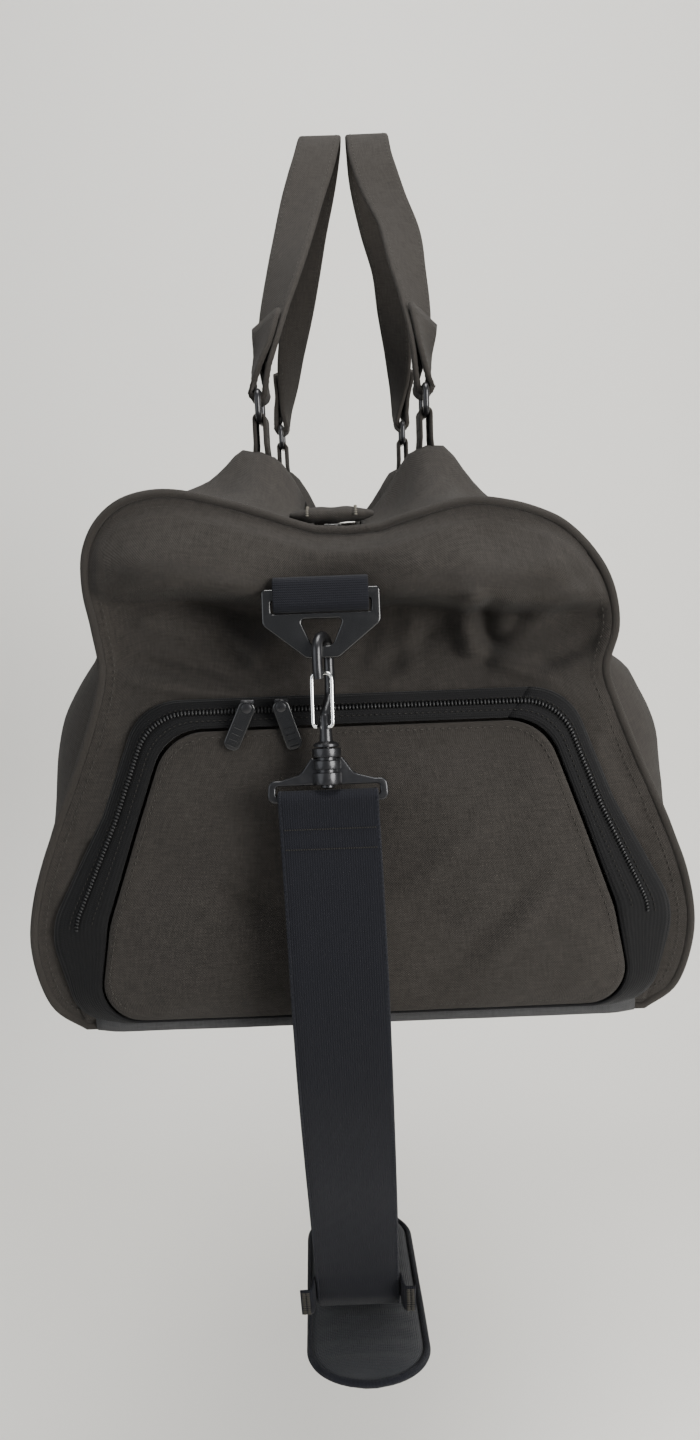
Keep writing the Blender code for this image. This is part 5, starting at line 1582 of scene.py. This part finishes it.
def make_camera():
    camera = bpy.data.cameras.new("view")
    camera.lens = 26.0
    camera.sensor_fit = "VERTICAL"
    camera.sensor_height = 36.0
    camera.clip_start = 0.02
    obj = bpy.data.objects.new("view", camera)
    bpy.context.scene.collection.objects.link(obj)
    pitch = math.radians(90.0 - 10.9)
    roll = math.radians(-2.2)
    turn = Matrix.Rotation(pitch, 4, "X") @ Matrix.Rotation(roll, 4, "Z")
    obj.matrix_world = Matrix.Translation(at((-0.0025, -0.78, 0.273))) @ turn
    bpy.context.scene.camera = obj


def make_lights():
    world = bpy.data.worlds.new("room")
    world.use_nodes = True
    world.node_tree.nodes["Background"].inputs["Color"].default_value = (0.86, 0.90, 0.96, 1.0)
    world.node_tree.nodes["Background"].inputs["Strength"].default_value = 0.36
    bpy.context.scene.world = world
    middle = at((0.0, 0.0, 0.10))
    add_lamp("window", at((1.3, -1.5, 0.55)), middle, 1.2, 54.0, (1.0, 0.985, 0.96))
    add_lamp("room_fill", at((-1.7, -1.3, 0.65)), middle, 1.8, 14.0, (0.93, 0.96, 1.0))
    add_lamp("ceiling", at((0.1, -0.30, 1.75)), middle, 1.1, 34.0, (1.0, 0.99, 0.97))
    add_lamp("floor_glow", at((0.35, -0.55, -1.0)), at((0.0, -0.1, -0.1)), 1.0, 7.0, (0.90, 0.95, 1.0))
    add_lamp("wall_wash", at((0.3, 0.1, -1.0)), at((0.1, 1.1, -0.5)), 1.0, 18.0, (1.0, 1.0, 1.0))


# --- operators ------------------------------------------------------------------------------------------

class DUFFEL_OT_finishes(bpy.types.Operator):
    """Make every finish of the bag from its colours"""
    bl_idname = "duffel.finishes"
    bl_label = "Duffel Finishes"

    def execute(self, context):
        colours = context.scene.duffel_colours
        sizes = context.scene.duffel_sizes
        make_canvas("canvas", colours.canvas, sizes.weave)
        # The handle cloth and the piping are painted paler: a painted highlight for the light on their folded
        # edges and the round cord
        make_canvas("canvas_handle", colours.canvas, sizes.weave, 0.10)
        make_canvas("piping", colours.canvas, sizes.weave, 0.22)
        make_canvas("underside", colours.underside, sizes.weave, 0.05)
        make_webbing("webbing", colours.webbing, 0.0012, 0.0010, 0.0003)
        make_webbing("webbing_edge", [c * 1.4 for c in colours.webbing], 0.0016, 0.0012)
        make_webbing("tape", colours.tape, 0.0016, 0.0011, 0.0003)
        make_webbing("thread", colours.thread, 0.0010, 0.0010, 0.0001)
        make_webbing("thread_dark", [c * 0.45 for c in colours.thread], 0.0010, 0.0010, 0.0001)
        make_webbing("bartack", colours.bartack, 0.0010, 0.0010, 0.0001)
        make_webbing("bartack_dull", [c * 0.35 for c in colours.bartack], 0.0010, 0.0010, 0.0001)
        make_ribbed("pad", colours.pad, 0.0026)
        make_hard("coil", colours.tape, 0.45, 0.0, 0.10)
        make_hard("plastic", colours.plastic, 0.24, 0.0, 0.08, 0.4)
        make_hard("metal", colours.metal, 0.33, 0.75, 0.16, 0.2)
        make_hard("wire", colours.wire, 0.20, 1.0, 0.10)
        make_hard("board", (0.10, 0.10, 0.10), 0.7, 0.0, 0.1)
        make_plain("wall", colours.wall, 0.9)
        return {"FINISHED"}


class DUFFEL_OT_body(bpy.types.Operator):
    """Make the canvas body: shells, ends, piping and base"""
    bl_idname = "duffel.body"
    bl_label = "Canvas Body"

    def execute(self, context):
        sizes = context.scene.duffel_sizes
        make_shells(sizes)
        make_ends(sizes)
        make_piping(sizes)
        make_base()
        return {"FINISHED"}


class DUFFEL_OT_main_zip(bpy.types.Operator):
    """Make the top zip with its end rolls, slider and pull"""
    bl_idname = "duffel.main_zip"
    bl_label = "Main Zip"

    def execute(self, context):
        make_main_zip()
        make_top_slider()
        return {"FINISHED"}


class DUFFEL_OT_end_pocket(bpy.types.Operator):
    """Make the end pocket with its zip, sliders and pulls"""
    bl_idname = "duffel.end_pocket"
    bl_label = "End Pocket"

    def execute(self, context):
        sizes = context.scene.duffel_sizes
        make_pocket_panel(sizes)
        make_pocket_band()
        make_pocket_sliders()
        return {"FINISHED"}


class DUFFEL_OT_handles(bpy.types.Operator):
    """Make the two carry handles with their rings and tabs"""
    bl_idname = "duffel.handles"
    bl_label = "Carry Handles"

    def execute(self, context):
        sizes = context.scene.duffel_sizes
        make_handle("left", -1, LEFT_LEG, sizes)
        make_handle("right", 1, RIGHT_LEG, sizes)
        make_tabs()
        return {"FINISHED"}


class DUFFEL_OT_hooks(bpy.types.Operator):
    """Make the plate rings, swivel hooks, gates and strap loops"""
    bl_idname = "duffel.hooks"
    bl_label = "Rings and Hooks"

    def execute(self, context):
        for word, side in (("near", -1), ("far", 1)):
            make_ring(word, side)
            make_hook(word, side)
            make_hook_loop(word, side)
        return {"FINISHED"}


class DUFFEL_OT_strap(bpy.types.Operator):
    """Make the shoulder strap with its adjuster and pad"""
    bl_idname = "duffel.strap"
    bl_label = "Shoulder Strap"

    def execute(self, context):
        make_strap()
        make_pad()
        return {"FINISHED"}


class DUFFEL_OT_stage(bpy.types.Operator):
    """Make the pale floor and wall, the lights and the camera"""
    bl_idname = "duffel.stage"
    bl_label = "Stage"

    def execute(self, context):
        make_backdrop()
        make_lights()
        make_camera()
        return {"FINISHED"}


STEPS = (DUFFEL_OT_finishes, DUFFEL_OT_stage, DUFFEL_OT_body, DUFFEL_OT_main_zip, DUFFEL_OT_end_pocket,
         DUFFEL_OT_handles, DUFFEL_OT_hooks, DUFFEL_OT_strap)


class DUFFEL_PT_panel(bpy.types.Panel):
    bl_label = "Duffel Bag"
    bl_idname = "DUFFEL_PT_panel"
    bl_space_type = "VIEW_3D"
    bl_region_type = "UI"
    bl_category = "Duffel"

    def draw(self, context):
        layout = self.layout
        for settings in (context.scene.duffel_sizes, context.scene.duffel_colours):
            for name in settings.__annotations__:
                layout.prop(settings, name)
        for step in STEPS:
            layout.operator(step.bl_idname)


CLASSES = (DuffelColours, DuffelSizes, *STEPS, DUFFEL_PT_panel)


def register():
    for made in CLASSES:
        bpy.utils.register_class(made)
    bpy.types.Scene.duffel_colours = bpy.props.PointerProperty(type=DuffelColours)
    bpy.types.Scene.duffel_sizes = bpy.props.PointerProperty(type=DuffelSizes)


def unregister():
    del bpy.types.Scene.duffel_sizes
    del bpy.types.Scene.duffel_colours
    for made in reversed(CLASSES):
        bpy.utils.unregister_class(made)


def main():
    register()
    bpy.ops.duffel.finishes()
    bpy.ops.duffel.stage()
    bpy.ops.duffel.body()
    bpy.ops.duffel.main_zip()
    bpy.ops.duffel.end_pocket()
    bpy.ops.duffel.handles()
    bpy.ops.duffel.hooks()
    bpy.ops.duffel.strap()


if __name__ == "__main__":
    main()
